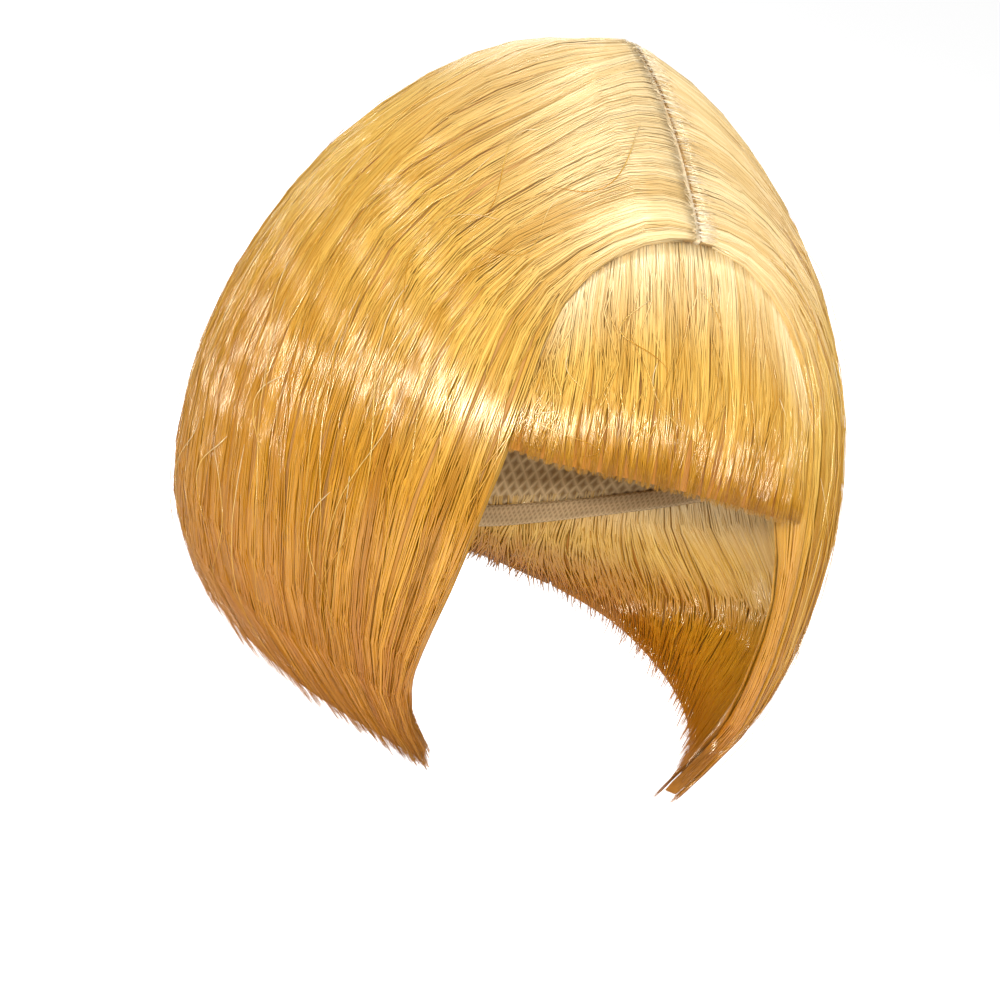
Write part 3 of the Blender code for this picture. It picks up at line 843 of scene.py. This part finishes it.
class GroupMaker:
    """Shader node groups that more than one finish of the wig uses."""

    def __init__(self) -> None:
        """Builds the groups."""
        self.streaks = self.make_streaks()
        self.weave = self.make_weave()

    @staticmethod
    def start(name: str, inputs: dict[str, float], outputs: list[str]) -> tuple[Wires, dict, dict]:
        """A new group with number sockets.

        Args:
            name: The group's name.
            inputs: Its inputs and their values.
            outputs: Its outputs.

        Returns:
            The group's wires, its input sockets and its output sockets by name.
        """
        tree = bpy.data.node_groups.new(name, "ShaderNodeTree")
        for label, value in inputs.items():
            socket = tree.interface.new_socket(name=label, in_out="INPUT", socket_type="NodeSocketFloat")
            socket.default_value = value
        for label in outputs:
            tree.interface.new_socket(name=label, in_out="OUTPUT", socket_type="NodeSocketFloat")
        wires = Wires(tree)
        entry = wires.node("NodeGroupInput")
        leave = wires.node("NodeGroupOutput")
        ins = {label: entry.outputs[label] for label in inputs}
        outs = {label: leave.inputs[label] for label in outputs}
        return wires, ins, outs

    def make_streaks(self) -> bpy.types.NodeTree:
        """Long uneven streaks that run with the fibres."""
        wires, ins, outs = self.start(
            "fibre_streaks", {"Across": 0.0, "Along": 0.0, "Fineness": 60.0, "Length": 6.0}, ["Streak", "Fine"]
        )
        for label, faster, output in (("broad", 1.0, "Streak"), ("fine", 4.0, "Fine")):
            across = wires.math("MULTIPLY", ins["Across"], wires.math("MULTIPLY", ins["Fineness"], faster))
            along = wires.math("MULTIPLY", ins["Along"], ins["Length"])
            noise = wires.node("ShaderNodeTexNoise", noise_dimensions="2D", label=label)
            noise.inputs["Scale"].default_value = 1.0
            noise.inputs["Detail"].default_value = 3.0
            noise.inputs["Roughness"].default_value = 0.6
            wires.feed(noise.inputs["Vector"], wires.combine(across, along, 0.0))
            wires.feed(outs[output], noise.outputs[0])
        return wires.tree

    def make_weave(self) -> bpy.types.NodeTree:
        """Crossing threads: their height, and a mask of the holes between them."""
        wires, ins, outs = self.start(
            "thread_weave",
            {"Across": 0.0, "Along": 0.0, "Threads": 60.0, "Rows": 30.0, "Thickness": 0.35},
            ["Height", "Hole"],
        )
        across = wires.math("MULTIPLY", ins["Across"], ins["Threads"])
        along = wires.math("MULTIPLY", ins["Along"], ins["Rows"])
        ridges = []
        for operation in ("ADD", "SUBTRACT"):
            turns = wires.math("FRACT", wires.math(operation, across, along))
            off = wires.math("ABSOLUTE", wires.math("SUBTRACT", turns, 0.5))
            ridges.append(wires.math("SUBTRACT", 1.0, wires.math("DIVIDE", off, ins["Thickness"])))
        height = wires.math("MAXIMUM", wires.math("MAXIMUM", *ridges), 0.0)
        wires.feed(outs["Height"], height)
        wires.feed(outs["Hole"], wires.math("LESS_THAN", height, 0.05))
        return wires.tree

    def place(self, wires: Wires, group: bpy.types.NodeTree, **inputs: object) -> bpy.types.Node:
        """A node of the group, with its inputs joined or set."""
        node = wires.node("ShaderNodeGroup", node_tree=group)
        for label, value in inputs.items():
            wires.feed(node.inputs[label], value)
        return node


def bake_places(wires: Wires) -> tuple[bpy.types.NodeSocket, bpy.types.NodeSocket]:
    """The two coordinates of the bake map."""
    places = wires.node("ShaderNodeUVMap", uv_map=BAKE_MAP)
    parts = wires.node("ShaderNodeSeparateXYZ")
    wires.feed(parts.inputs[0], places.outputs[0])
    return parts.outputs[0], parts.outputs[1]


@dataclass(frozen=True)
class FibreFinish:
    """Shiny synthetic fibre whose colour deepens from root to tip."""

    name: str
    deep: tuple[Colour, Colour, Colour, Colour]
    pale: tuple[Colour, Colour, Colour, Colour]
    stops: tuple[float, float, float, float] = (0.0, 0.36, 0.64, 0.92)
    roughness: float = 0.17
    roughness_spread: float = 0.06
    streak: float = 0.35
    fineness: float = 90.0

    def build(self, groups: GroupMaker) -> bpy.types.Material:
        """The finish as a material."""
        material, tree, shader = new_material(self.name)
        wires = Wires(tree)
        tone, along = bake_places(wires)
        streaks = groups.place(
            wires, groups.streaks, Across=tone, Along=along, Fineness=self.fineness, Length=7.0
        )
        deep = wires.ramp(along, list(zip(self.stops, self.deep)))
        pale = wires.ramp(along, list(zip(self.stops, self.pale)))
        shift = wires.math("MULTIPLY", wires.math("SUBTRACT", streaks.outputs["Streak"], 0.5), self.streak * 2)
        factor = wires.math("ADD", tone, shift)
        colour = wires.mix(wires.math("MINIMUM", wires.math("MAXIMUM", factor, 0.0), 1.0), deep, pale)
        wires.feed(shader.inputs["Base Color"], colour)
        spread = wires.math("MULTIPLY", streaks.outputs["Fine"], self.roughness_spread)
        wires.feed(shader.inputs["Roughness"], wires.math("ADD", spread, self.roughness - self.roughness_spread / 2))
        bump = wires.node("ShaderNodeBump")
        bump.inputs["Strength"].default_value = 0.15
        bump.inputs["Distance"].default_value = 0.0002
        wires.feed(bump.inputs["Height"], streaks.outputs["Fine"])
        wires.feed(shader.inputs["Normal"], bump.outputs[0])
        shader.inputs["Specular IOR Level"].default_value = 1.0
        shader.inputs["Specular Tint"].default_value = (1.0, 0.91, 0.70, 1.0)
        shader.inputs["IOR"].default_value = 1.58
        return material


@dataclass(frozen=True)
class UnderHairFinish:
    """The deeper-coloured mass of hair that shows in the gaps between wisps."""

    name: str = "under_hair"
    root: Colour = (0.66, 0.40, 0.14)
    middle: Colour = (0.54, 0.25, 0.04)
    end: Colour = (0.46, 0.17, 0.008)

    def build(self, groups: GroupMaker) -> bpy.types.Material:
        """The finish as a material."""
        material, tree, shader = new_material(self.name)
        wires = Wires(tree)
        across, along = bake_places(wires)
        streaks = groups.place(wires, groups.streaks, Across=across, Along=along, Fineness=240.0, Length=5.0)
        colour = wires.ramp(along, [(0.0, self.root), (0.45, self.middle), (0.97, self.end)])
        shade = wires.math("ADD", wires.math("MULTIPLY", streaks.outputs["Fine"], 1.1), 0.45)
        colour = wires.mix(1.0, colour, wires.combine(shade, shade, shade), "MULTIPLY")
        wires.feed(shader.inputs["Base Color"], colour)
        wires.feed(shader.inputs["Roughness"], wires.math("ADD", wires.math("MULTIPLY", streaks.outputs["Streak"], 0.2), 0.35))
        bump = wires.node("ShaderNodeBump")
        bump.inputs["Strength"].default_value = 0.7
        bump.inputs["Distance"].default_value = 0.0008
        wires.feed(bump.inputs["Height"], streaks.outputs["Fine"])
        wires.feed(shader.inputs["Normal"], bump.outputs[0])
        return material


@dataclass(frozen=True)
class ClothFinish:
    """Woven net or elastic, with threads, shading and a fine relief."""

    name: str
    thread: Colour
    ground: Colour
    threads: float
    rows: float
    thickness: float = 0.35
    roughness: float = 0.75
    relief: float = 0.0004

    def build(self, groups: GroupMaker) -> bpy.types.Material:
        """The finish as a material."""
        material, tree, shader = new_material(self.name)
        wires = Wires(tree)
        across, along = bake_places(wires)
        weave = groups.place(
            wires, groups.weave, Across=across, Along=along, Threads=self.threads, Rows=self.rows,
            Thickness=self.thickness,
        )
        streaks = groups.place(wires, groups.streaks, Across=across, Along=along, Fineness=30.0, Length=12.0)
        colour = wires.mix(weave.outputs["Height"], (*self.ground, 1.0), (*self.thread, 1.0))
        shade = wires.math("ADD", wires.math("MULTIPLY", streaks.outputs["Streak"], 0.5), 0.75)
        colour = wires.mix(1.0, colour, wires.combine(shade, shade, shade), "MULTIPLY")
        wires.feed(shader.inputs["Base Color"], colour)
        rough = wires.math("MULTIPLY", weave.outputs["Hole"], 0.15)
        wires.feed(shader.inputs["Roughness"], wires.math("ADD", rough, self.roughness))
        bump = wires.node("ShaderNodeBump")
        bump.inputs["Strength"].default_value = 0.8
        bump.inputs["Distance"].default_value = self.relief
        wires.feed(bump.inputs["Height"], weave.outputs["Height"])
        wires.feed(shader.inputs["Normal"], bump.outputs[0])
        return material


class Wardrobe:
    """All the wig's materials."""

    def __init__(self) -> None:
        """Builds the node groups and the materials."""
        groups = GroupMaker()
        self.blonde = FibreFinish(
            "blonde_fibre",
            deep=((0.74, 0.50, 0.20), (0.56, 0.28, 0.030), (0.42, 0.160, 0.004), (0.38, 0.110, 0.002)),
            pale=((0.95, 0.77, 0.45), (0.82, 0.52, 0.11), (0.62, 0.29, 0.012), (0.54, 0.21, 0.006)),
        ).build(groups)
        self.parting = FibreFinish(
            "parting_fibre",
            deep=((0.86, 0.66, 0.36), (0.84, 0.62, 0.32), (0.80, 0.55, 0.25), (0.76, 0.48, 0.18)),
            pale=((0.98, 0.92, 0.76), (0.97, 0.88, 0.68), (0.95, 0.80, 0.52), (0.92, 0.72, 0.40)),
            roughness=0.35,
        ).build(groups)
        self.under = UnderHairFinish().build(groups)
        self.net = ClothFinish("cap_net", (0.66, 0.47, 0.24), (0.30, 0.18, 0.07), 120.0, 60.0).build(groups)
        self.elastic = ClothFinish(
            "rim_elastic", (0.60, 0.42, 0.22), (0.34, 0.21, 0.09), 260.0, 8.0, thickness=0.45, relief=0.0002
        ).build(groups)


@dataclass(frozen=True)
class HairLayer:
    """One node's hair: the mass under it, its outer fibres and those on its hidden face."""

    node: str
    styling: Styling
    inside: InnerStyling | None = None
    skin: float = 0.0008
    edge: float = 0.005
    hem: float = 0.975
    run: float = 1.0
    columns: int = 120
    rows: int = 44

    def build(self, panel: Panel, tube: FibreTube, wardrobe: Wardrobe) -> None:
        """Builds and dresses the layer's pieces over its panel."""
        across = np.linspace(self.edge, 1 - self.edge, self.columns + 1)
        along = np.linspace(0, self.hem, self.rows + 1)
        across, along = np.meshgrid(across, along, indexing="ij")
        facing = unit(panel.read(panel.facing, across, along))
        outer = panel.read(panel.outer, across, along) - facing * self.skin
        inner = panel.read(panel.inner, across, along)
        mass = closed_layer(f"{self.node}_mass", outer, inner)
        settle(mass, wardrobe.under, Slot.BLONDE, self.node)
        fibres = self.styling.lay(panel, tube, f"{self.node}_fibres", self.run)
        settle(fibres, wardrobe.blonde, Slot.BLONDE)
        if self.inside:
            hidden = self.inside.lay(panel, tube, f"{self.node}_inner_fibres", self.run)
            settle(hidden, wardrobe.blonde, Slot.BLONDE)


@dataclass(frozen=True)
class HeadOfHair:
    """Both sides, the back and the fringe."""

    form: WigForm
    plan: PanelPlan
    tube: FibreTube = FibreTube()
    right: HairLayer = HairLayer("side_right", Styling(1920, 20, 60, 11), InnerStyling(560, 12))
    left: HairLayer = HairLayer("side_left", Styling(1920, 20, 60, 21), InnerStyling(560, 22))
    back: HairLayer = HairLayer("back_hair", Styling(1300, 12, 36, 31), InnerStyling(380, 32))
    fringe: HairLayer = HairLayer(
        "fringe",
        Styling(
            1500, 14, 44, 41,
            lock_lift=0.0005, wisp_lift=0.0004, depth_spread=0.0004, wander=0.0006, stray_wander=0.003,
            tip_scatter=0.014, wisp_point=0.012, under_depth=0.002,
            stops=(0, 0.06, 0.14, 0.24, 0.36, 0.48, 0.60, 0.72, 0.83, 0.92, 1),
        ),
        InnerStyling(320, 42, width=0.0009),
        skin=0.0006, hem=0.965, columns=96, rows=30, run=0.66,
    )

    def panels(self) -> dict[str, Panel]:
        """The panels that the layers lie on, by node."""
        right = self.plan.side(self.form, self.plan.lip_right)
        left = self.plan.side(self.form, self.plan.lip_left)
        return {
            "side_right": Panel(*right, self.form),
            "side_left": Panel(*(grid * MIRROR for grid in left), self.form),
            "back_hair": Panel(*self.plan.back(self.form), self.form),
            "fringe": Panel(*self.plan.fringe(self.form), self.form),
        }

    def build(self, wardrobe: Wardrobe) -> dict[str, Panel]:
        """Builds every layer and returns the panels."""
        panels = self.panels()
        for layer in (self.right, self.left, self.back, self.fringe):
            layer.build(panels[layer.node], self.tube, wardrobe)
        return panels


@dataclass(frozen=True)
class EdgeFibres:
    """Fibres that close the cut thickness of a side along its front edge."""

    count: int = 150
    rings: int = 16
    width: float = 0.0009
    bulge: float = 0.0016
    seed: int = 51

    def build(self, panels: dict[str, Panel], tube: FibreTube, wardrobe: Wardrobe) -> None:
        """Builds the fibres on both sides' front edges."""
        rng = np.random.default_rng(self.seed)
        share = np.linspace(0, 1, self.rings)[None, :]
        lines = []
        ways = []
        for node in ("side_right", "side_left"):
            panel = panels[node]
            deep = rng.uniform(0, 1, (self.count, 1)) + 0 * share
            along = 0.02 + share * rng.uniform(0.93, 0.985, (self.count, 1)) * 0.98
            edge = 0.005 + 0 * share
            outer = panel.read(panel.outer, edge, along)
            inner = panel.read(panel.inner, edge, along)
            away = outer - panel.read(panel.outer, edge + 0.02, along)
            away = unit(away - (away * unit(np.gradient(outer, axis=1))).sum(-1, keepdims=True) * unit(np.gradient(outer, axis=1)))
            swell = self.bulge * np.sin(math.pi * deep) * rng.uniform(0.4, 1.0, (self.count, 1))
            lines.append(outer * (1 - deep[..., None]) + inner * deep[..., None] + away * swell[..., None])
            ways.append(unit(away + panel.read(panel.facing, edge, along) * (0.5 - deep[..., None])))
        points = np.concatenate(lines)
        widths = self.width * rng.uniform(0.7, 1.1, len(points))
        tones = np.clip(0.45 + 0.22 * rng.normal(size=len(points)), 0, 0.999)
        piece = tube.build("front_edge_fibres", points, np.concatenate(ways), widths, tones)
        settle(piece, wardrobe.blonde, Slot.BLONDE)


@dataclass(frozen=True)
class StrayFibres:
    """Long loose fibres that cross the locks or stand off them."""

    counts: tuple[tuple[str, int], ...] = (("side_right", 46), ("side_left", 46), ("back_hair", 24), ("fringe", 7))
    width: float = 0.00036
    sideways: float = 0.014
    lift: float = 0.0045
    rings: int = 18
    seed: int = 71

    def build(self, panels: dict[str, Panel], tube: FibreTube, wardrobe: Wardrobe) -> None:
        """Builds the loose fibres over the panels."""
        rng = np.random.default_rng(self.seed)
        lines = []
        ways = []
        for node, count in self.counts:
            panel = panels[node]
            share = np.linspace(0, 1, self.rings)[None, :]
            start = rng.uniform(0.02, 0.75, (count, 1))
            end = np.minimum(start + rng.uniform(0.12, 0.45, (count, 1)), 0.99)
            along = start + (end - start) * share
            wave = np.sin(math.pi * (share * rng.uniform(0.6, 2.2, (count, 1)) + rng.uniform(0, 2, (count, 1))))
            slant = share * rng.normal(size=(count, 1)) * 0.8
            off = (wave + slant) * self.sideways * rng.uniform(0.1, 1, (count, 1)) / panel.width()
            across = rng.uniform(0.04, 0.96, (count, 1)) + off
            facing = unit(panel.read(panel.facing, across, along))
            rise = np.sin(math.pi * share * rng.uniform(0.5, 1.0, (count, 1)))
            lift = 0.0008 + rise * self.lift * rng.uniform(0.05, 1, (count, 1)) ** 2
            lines.append(panel.read(panel.outer, across, along) + facing * lift[..., None])
            ways.append(facing)
        points = np.concatenate(lines)
        widths = self.width * rng.uniform(0.7, 1.2, len(points))
        tones = rng.uniform(0.6, 0.99, len(points))
        piece = tube.build("stray_fibres", points, np.concatenate(ways), widths, tones)
        settle(piece, wardrobe.blonde, Slot.BLONDE)


@dataclass(frozen=True)
class Parting:
    """The pale web along the parting, with short fibres across it."""

    form: WigForm
    half_width: float = 0.0012
    recess: float = 0.0008
    end_gap: float = 0.0006
    wall: float = 0.012
    columns: int = 8
    rows: int = 90
    ridge: float = 0.0003
    fibres: int = 300
    fibre_run: float = 0.05
    fibre_width: float = 0.00032
    seed: int = 61

    def build(self, panels: dict[str, Panel], tube: FibreTube, wardrobe: Wardrobe) -> None:
        """Builds the web and the fibres that start on it."""
        shares = np.linspace(0, SIDE_FLOW[-1, 1], self.rows + 1)
        heights, turns = self.form.root(shares)
        line = self.form.point(turns, heights)
        line[:, 0] = 0
        foot = self.form.under_side(line, np.full(len(line), self.wall))
        for end, step in ((0, self.end_gap), (-1, -self.end_gap)):
            line[end, 1] += step
            foot[end, 1] += step
        into = unit(self.form.heart(line) - line)
        across = np.linspace(-1, 1, self.columns + 1)
        places = np.zeros((self.columns + 1, 1, 3))
        places[:, 0, 0] = across * self.half_width
        knots = np.abs(np.sin(np.arange(self.rows + 1) * math.pi / 2))[None, :, None]
        top = line[None] + into[None] * (self.recess + self.ridge * knots) + places
        web = closed_layer("parting_web", top, foot[None] + places)
        settle(web, wardrobe.parting, Slot.PARTING, "parting_strip")
        rng = np.random.default_rng(self.seed)
        lines = []
        ways = []
        for node, share in (("side_left", 0.75), ("side_right", 0.25)):
            panel = panels[node]
            count = int(self.fibres * share)
            place = rng.uniform(0.0, 0.56, (count, 1))
            run = np.linspace(0, 1, 6)[None, :] * self.fibre_run * rng.uniform(0.3, 1.0, (count, 1)) * share
            off = rng.normal(size=(count, 1)) * 0.008 * np.linspace(0, 1, 6)[None, :]
            facing = unit(panel.read(panel.facing, place + off, run))
            points = panel.read(panel.outer, place + off, run)
            points[:, 0, 0] *= rng.uniform(-0.6, 0.8, count)
            rise = 0.0002 + 0.0006 * np.sin(math.pi * np.linspace(0, 1, 6))[None, :] * rng.uniform(0, 1, (count, 1))
            lines.append(points + facing * rise[..., None])
            ways.append(facing)
        points = np.concatenate(lines)
        widths = self.fibre_width * rng.uniform(0.6, 1.2, len(points))
        piece = tube.build("parting_fibres", points, np.concatenate(ways), widths, rng.uniform(0.3, 0.99, len(points)))
        settle(piece, wardrobe.parting, Slot.PARTING)


@dataclass(frozen=True)
class Cap:
    """The net base: an open dome with sewn rows of hair round it."""

    form: WigForm
    columns: int = 160
    rows: int = 72
    weft_rows: int = 15
    thinner: float = 0.0009
    weft_share: float = 0.30

    def build(self, wardrobe: Wardrobe) -> None:
        """Builds and dresses the dome."""
        form = self.form
        azimuths = np.linspace(0, 2 * math.pi, self.columns, endpoint=False)[None, :]
        rim = (form.rim_height(azimuths) + form.head_height) / form.head_height
        lowest = np.where(rim > 0, np.arcsin(np.clip(rim, 0, 1)), rim)
        share = np.linspace(0, 1, self.rows, endpoint=False)[:, None]
        climb = lowest + (math.pi / 2 - lowest) * share
        rise = np.where(climb > 0, np.sin(climb), climb)
        turns = share * self.weft_rows % 1
        between = ease((np.abs(turns - 0.5) - self.weft_share / 2) / 0.12)
        grids = []
        for offset in (form.cap_wall + 0 * between, self.thinner * between):
            tall = form.head_height + np.where(climb > 0, offset * ease(climb), 0)
            height = -form.head_height + rise * tall
            grids.append(form.cap_point(azimuths + 0 * climb, height, offset + 0 * climb))
        points = np.concatenate([grid.reshape(-1, 3) for grid in grids])
        points = np.concatenate([points, [[0, 0, form.cap_wall], [0, 0, 0]]])
        ring, column = np.meshgrid(np.arange(self.rows - 1), np.arange(self.columns), indexing="ij")
        after = (column + 1) % self.columns
        wide = self.columns
        outer = np.stack([ring * wide + column, ring * wide + after], -1)
        outer = np.concatenate([outer, (outer + wide)[..., ::-1]], -1).reshape(-1, 4)
        layer = self.rows * wide
        around = np.arange(wide)
        beyond = (around + 1) % wide
        rim_faces = np.stack([around, around + layer, beyond + layer, beyond], -1)
        quads = np.concatenate([outer, outer[:, ::-1] + layer, rim_faces])
        last = (self.rows - 1) * wide
        top = np.stack([last + around, last + beyond, np.full(wide, 2 * layer)], -1)
        bottom = np.stack([last + layer + beyond, last + layer + around, np.full(wide, 2 * layer + 1)], -1)
        ends = np.concatenate([top, bottom])
        if signed_volume(points, quads, ends) < 0:
            quads = quads[:, ::-1]
            ends = ends[:, ::-1]
        piece = make_piece("cap_net", points, [quads, ends], [self.marks(quads), self.marks(ends)])
        settle(piece, wardrobe.net, Slot.NET, "cap")

    def marks(self, faces: Array) -> Array:
        """Bake map places of the faces' corners: round the head, and up it, outside and inside."""
        layer = self.rows * self.columns
        inside = (faces >= layer) & (faces < 2 * layer) | (faces == 2 * layer + 1)
        pole = faces >= 2 * layer
        index = faces % layer
        column = (index % self.columns).astype(float)
        first = column[:, :1]
        column = np.where(column - first > self.columns / 2, column - self.columns, column)
        column = np.where(first - column > self.columns / 2, column + self.columns, column)
        column = np.where(pole, column.min(1, keepdims=True) + 0.5, column)
        row = np.where(pole, self.rows, index // self.columns)
        across = 0.02 + 0.94 * column / self.columns
        along = np.where(inside, 0.01, 0.51) + 0.47 * row / self.rows
        return np.stack([across, along], -1)


@dataclass(frozen=True)
class EdgeBand:
    """The elastic binding round the cap's rim, with ribs across it."""

    form: WigForm
    height: float = 0.008
    wall: float = 0.0026
    gap: float = 0.0003
    ribs: int = 180
    per_rib: int = 3
    rib_depth: float = 0.0003
    profile: tuple[tuple[float, float], ...] = (
        # drop as a share of the height, depth as a share of the wall
        (0.00, 0.15), (0.12, 0.0), (0.40, 0.0), (0.60, 0.0), (0.88, 0.0), (1.00, 0.15),
        (1.00, 0.85), (0.88, 1.0), (0.60, 1.0), (0.40, 1.0), (0.12, 1.0), (0.00, 0.85),
    )

    def build(self, wardrobe: Wardrobe) -> None:
        """Builds and dresses the binding."""
        columns = self.ribs * self.per_rib
        azimuths = np.linspace(0, 2 * math.pi, columns, endpoint=False)
        top = self.form.rim_height(azimuths) - self.gap
        rib = self.rib_depth * np.sin(math.pi * self.ribs * azimuths / 2) ** 2
        rings = []
        for drop, depth in self.profile:
            sunk = rib * (1 - 2 * depth) if 0.05 < drop < 0.95 else 0 * rib
            offset = self.form.cap_wall - self.wall * depth - sunk
            rings.append(self.form.cap_point(azimuths, top - drop * self.height, offset))
        points = np.concatenate(rings)
        count = len(self.profile)
        ring, column = np.meshgrid(np.arange(count), np.arange(columns), indexing="ij")
        after = (column + 1) % columns
        above = (ring + 1) % count
        faces = np.stack(
            [ring * columns + column, ring * columns + after, above * columns + after, above * columns + column], -1
        )
        faces = faces.reshape(-1, 4)
        u = np.stack([column, column + 1, column + 1, column], -1).reshape(-1, 4) / columns
        v = np.stack([ring, ring, ring + 1, ring + 1], -1).reshape(-1, 4) / count
        marks = np.stack([0.01 + 0.98 * u, 0.01 + 0.98 * v], -1)
        if signed_volume(points, faces, faces[:0, :3]) < 0:
            faces = faces[:, ::-1]
            marks = marks[:, ::-1]
        piece = make_piece("rim_elastic", points, [faces], [marks])
        settle(piece, wardrobe.elastic, Slot.ELASTIC, "edge_band")


def signed_volume(points: Array, quads: Array, triangles: Array) -> float:
    """Six times the volume that the faces enclose, under 0 where they face in."""
    halves = [quads[:, [0, 1, 2]], quads[:, [0, 2, 3]], triangles]
    return float(np.linalg.det(points[np.concatenate(halves)]).sum())


@dataclass(frozen=True)
class Studio:
    """White floor, soft lights and the camera at the photograph's angle."""

    azimuth: float = -31.0
    elevation: float = 12.0
    roll: float = 18.2
    distance: float = 1.5
    target: tuple[float, float, float] = (0.0, -0.005, -0.071)
    frame_right: float = -0.0226
    frame_up: float = -0.0417
    lens: float = 149.6
    sensor: float = 36.0
    floor_level: float = -0.34
    floor_size: float = 14.0
    world_strength: float = 0.27
    floor_glow: float = 0.7
    backdrop_strength: float = 1.0

    @staticmethod
    def way(azimuth: float, elevation: float) -> Vector:
        """The direction from the wig towards a place round it, in degrees."""
        turn = math.radians(azimuth)
        rise = math.radians(elevation)
        flat = math.cos(rise)
        return Vector((math.sin(turn) * flat, -math.cos(turn) * flat, math.sin(rise)))

    def build(self) -> None:
        """Makes the camera, the lights, the world and the floor."""
        self.make_camera()
        self.make_light("key", -36.0, 16.0, 2.2, (1.4, 0.12), 47.0)
        self.make_light("fill", 40.0, 30.0, 2.6, (1.4, 1.4), 5.0)
        self.make_light("crown_light", -10.0, 72.0, 2.2, (1.0, 0.6), 22.0)
        self.make_light("rim_light", 165.0, 30.0, 2.6, (1.4, 0.9), 14.0)
        self.make_light("left_light", 100.0, 22.0, 2.6, (1.4, 0.9), 9.0)
        self.make_world()
        self.make_floor()
        bpy.context.scene.view_settings.view_transform = "Standard"

    def make_camera(self) -> None:
        """The camera, rolled as the photograph is."""
        back = self.way(self.azimuth, self.elevation)
        level = Vector((0, 0, 1)).cross(back).normalized()
        upright = back.cross(level)
        roll = math.radians(self.roll)
        right = math.cos(roll) * level + math.sin(roll) * upright
        up = -math.sin(roll) * level + math.cos(roll) * upright
        target = Vector(self.target)
        eye = target + back * self.distance
        aim = target + right * self.frame_right + up * self.frame_up
        look = (eye - aim).normalized()
        side = up.cross(look).normalized()
        data = bpy.data.cameras.new("camera")
        data.lens = self.lens
        data.sensor_width = self.sensor
        data.clip_end = 100.0
        camera = bpy.data.objects.new("camera", data)
        turn = Matrix((side, look.cross(side), look)).transposed().to_4x4()
        camera.matrix_world = Matrix.Translation(eye) @ turn
        bpy.context.scene.collection.objects.link(camera)
        bpy.context.scene.camera = camera

    def make_light(
        self, name: str, azimuth: float, elevation: float, distance: float, size: tuple[float, float], power: float
    ) -> None:
        """A soft rectangular light aimed at the wig."""
        data = bpy.data.lights.new(name, "AREA")
        data.shape = "RECTANGLE"
        data.size, data.size_y = size
        data.energy = power
        light = bpy.data.objects.new(name, data)
        back = self.way(azimuth, elevation)
        light.location = Vector(self.target) + back * distance
        light.rotation_euler = back.to_track_quat("Z", "Y").to_euler()
        bpy.context.scene.collection.objects.link(light)

    def make_world(self) -> None:
        """An even white surround."""
        world = bpy.data.worlds.new("surround")
        world.use_nodes = True
        wires = Wires(world.node_tree)
        surround = world.node_tree.nodes["Background"]
        surround.inputs[0].default_value = (1.0, 1.0, 1.0, 1.0)
        surround.inputs[1].default_value = self.world_strength
        backdrop = wires.node("ShaderNodeBackground")
        backdrop.inputs[1].default_value = self.backdrop_strength
        seen = wires.node("ShaderNodeMixShader")
        wires.feed(seen.inputs[0], wires.node("ShaderNodeLightPath").outputs["Is Camera Ray"])
        wires.feed(seen.inputs[1], surround.outputs[0])
        wires.feed(seen.inputs[2], backdrop.outputs[0])
        wires.feed(world.node_tree.nodes["World Output"].inputs[0], seen.outputs[0])
        bpy.context.scene.world = world

    def make_floor(self) -> None:
        """A plain pale floor under the wig."""
        half = self.floor_size / 2
        corners = [(-half, -half), (half, -half), (half, half), (-half, half)]
        mesh = bpy.data.meshes.new("floor")
        mesh.from_pydata([(x, y, self.floor_level) for x, y in corners], [], [(0, 1, 2, 3)])
        floor = bpy.data.objects.new("floor", mesh)
        material, tree, shader = new_material("floor")
        shader.inputs["Base Color"].default_value = (0.93, 0.93, 0.93, 1.0)
        shader.inputs["Roughness"].default_value = 0.9
        shader.inputs["Emission Color"].default_value = (1.0, 1.0, 1.0, 1.0)
        wires = Wires(tree)
        seen = wires.node("ShaderNodeLightPath").outputs["Is Camera Ray"]
        wires.feed(shader.inputs["Emission Strength"], wires.math("MULTIPLY", seen, self.floor_glow))
        material.cycles.emission_sampling = "NONE"
        mesh.materials.append(material)
        bpy.context.scene.collection.objects.link(floor)


def main() -> None:
    """Builds the wig's pieces and the studio."""
    logging.basicConfig(level=logging.INFO, format="%(name)s %(message)s")
    form = WigForm()
    wardrobe = Wardrobe()
    Studio().build()
    hair = HeadOfHair(form, PanelPlan())
    panels = hair.build(wardrobe)
    EdgeFibres().build(panels, hair.tube, wardrobe)
    StrayFibres().build(panels, hair.tube, wardrobe)
    Parting(form).build(panels, hair.tube, wardrobe)
    Cap(form).build(wardrobe)
    EdgeBand(form).build(wardrobe)


if __name__ == "__main__":
    main()
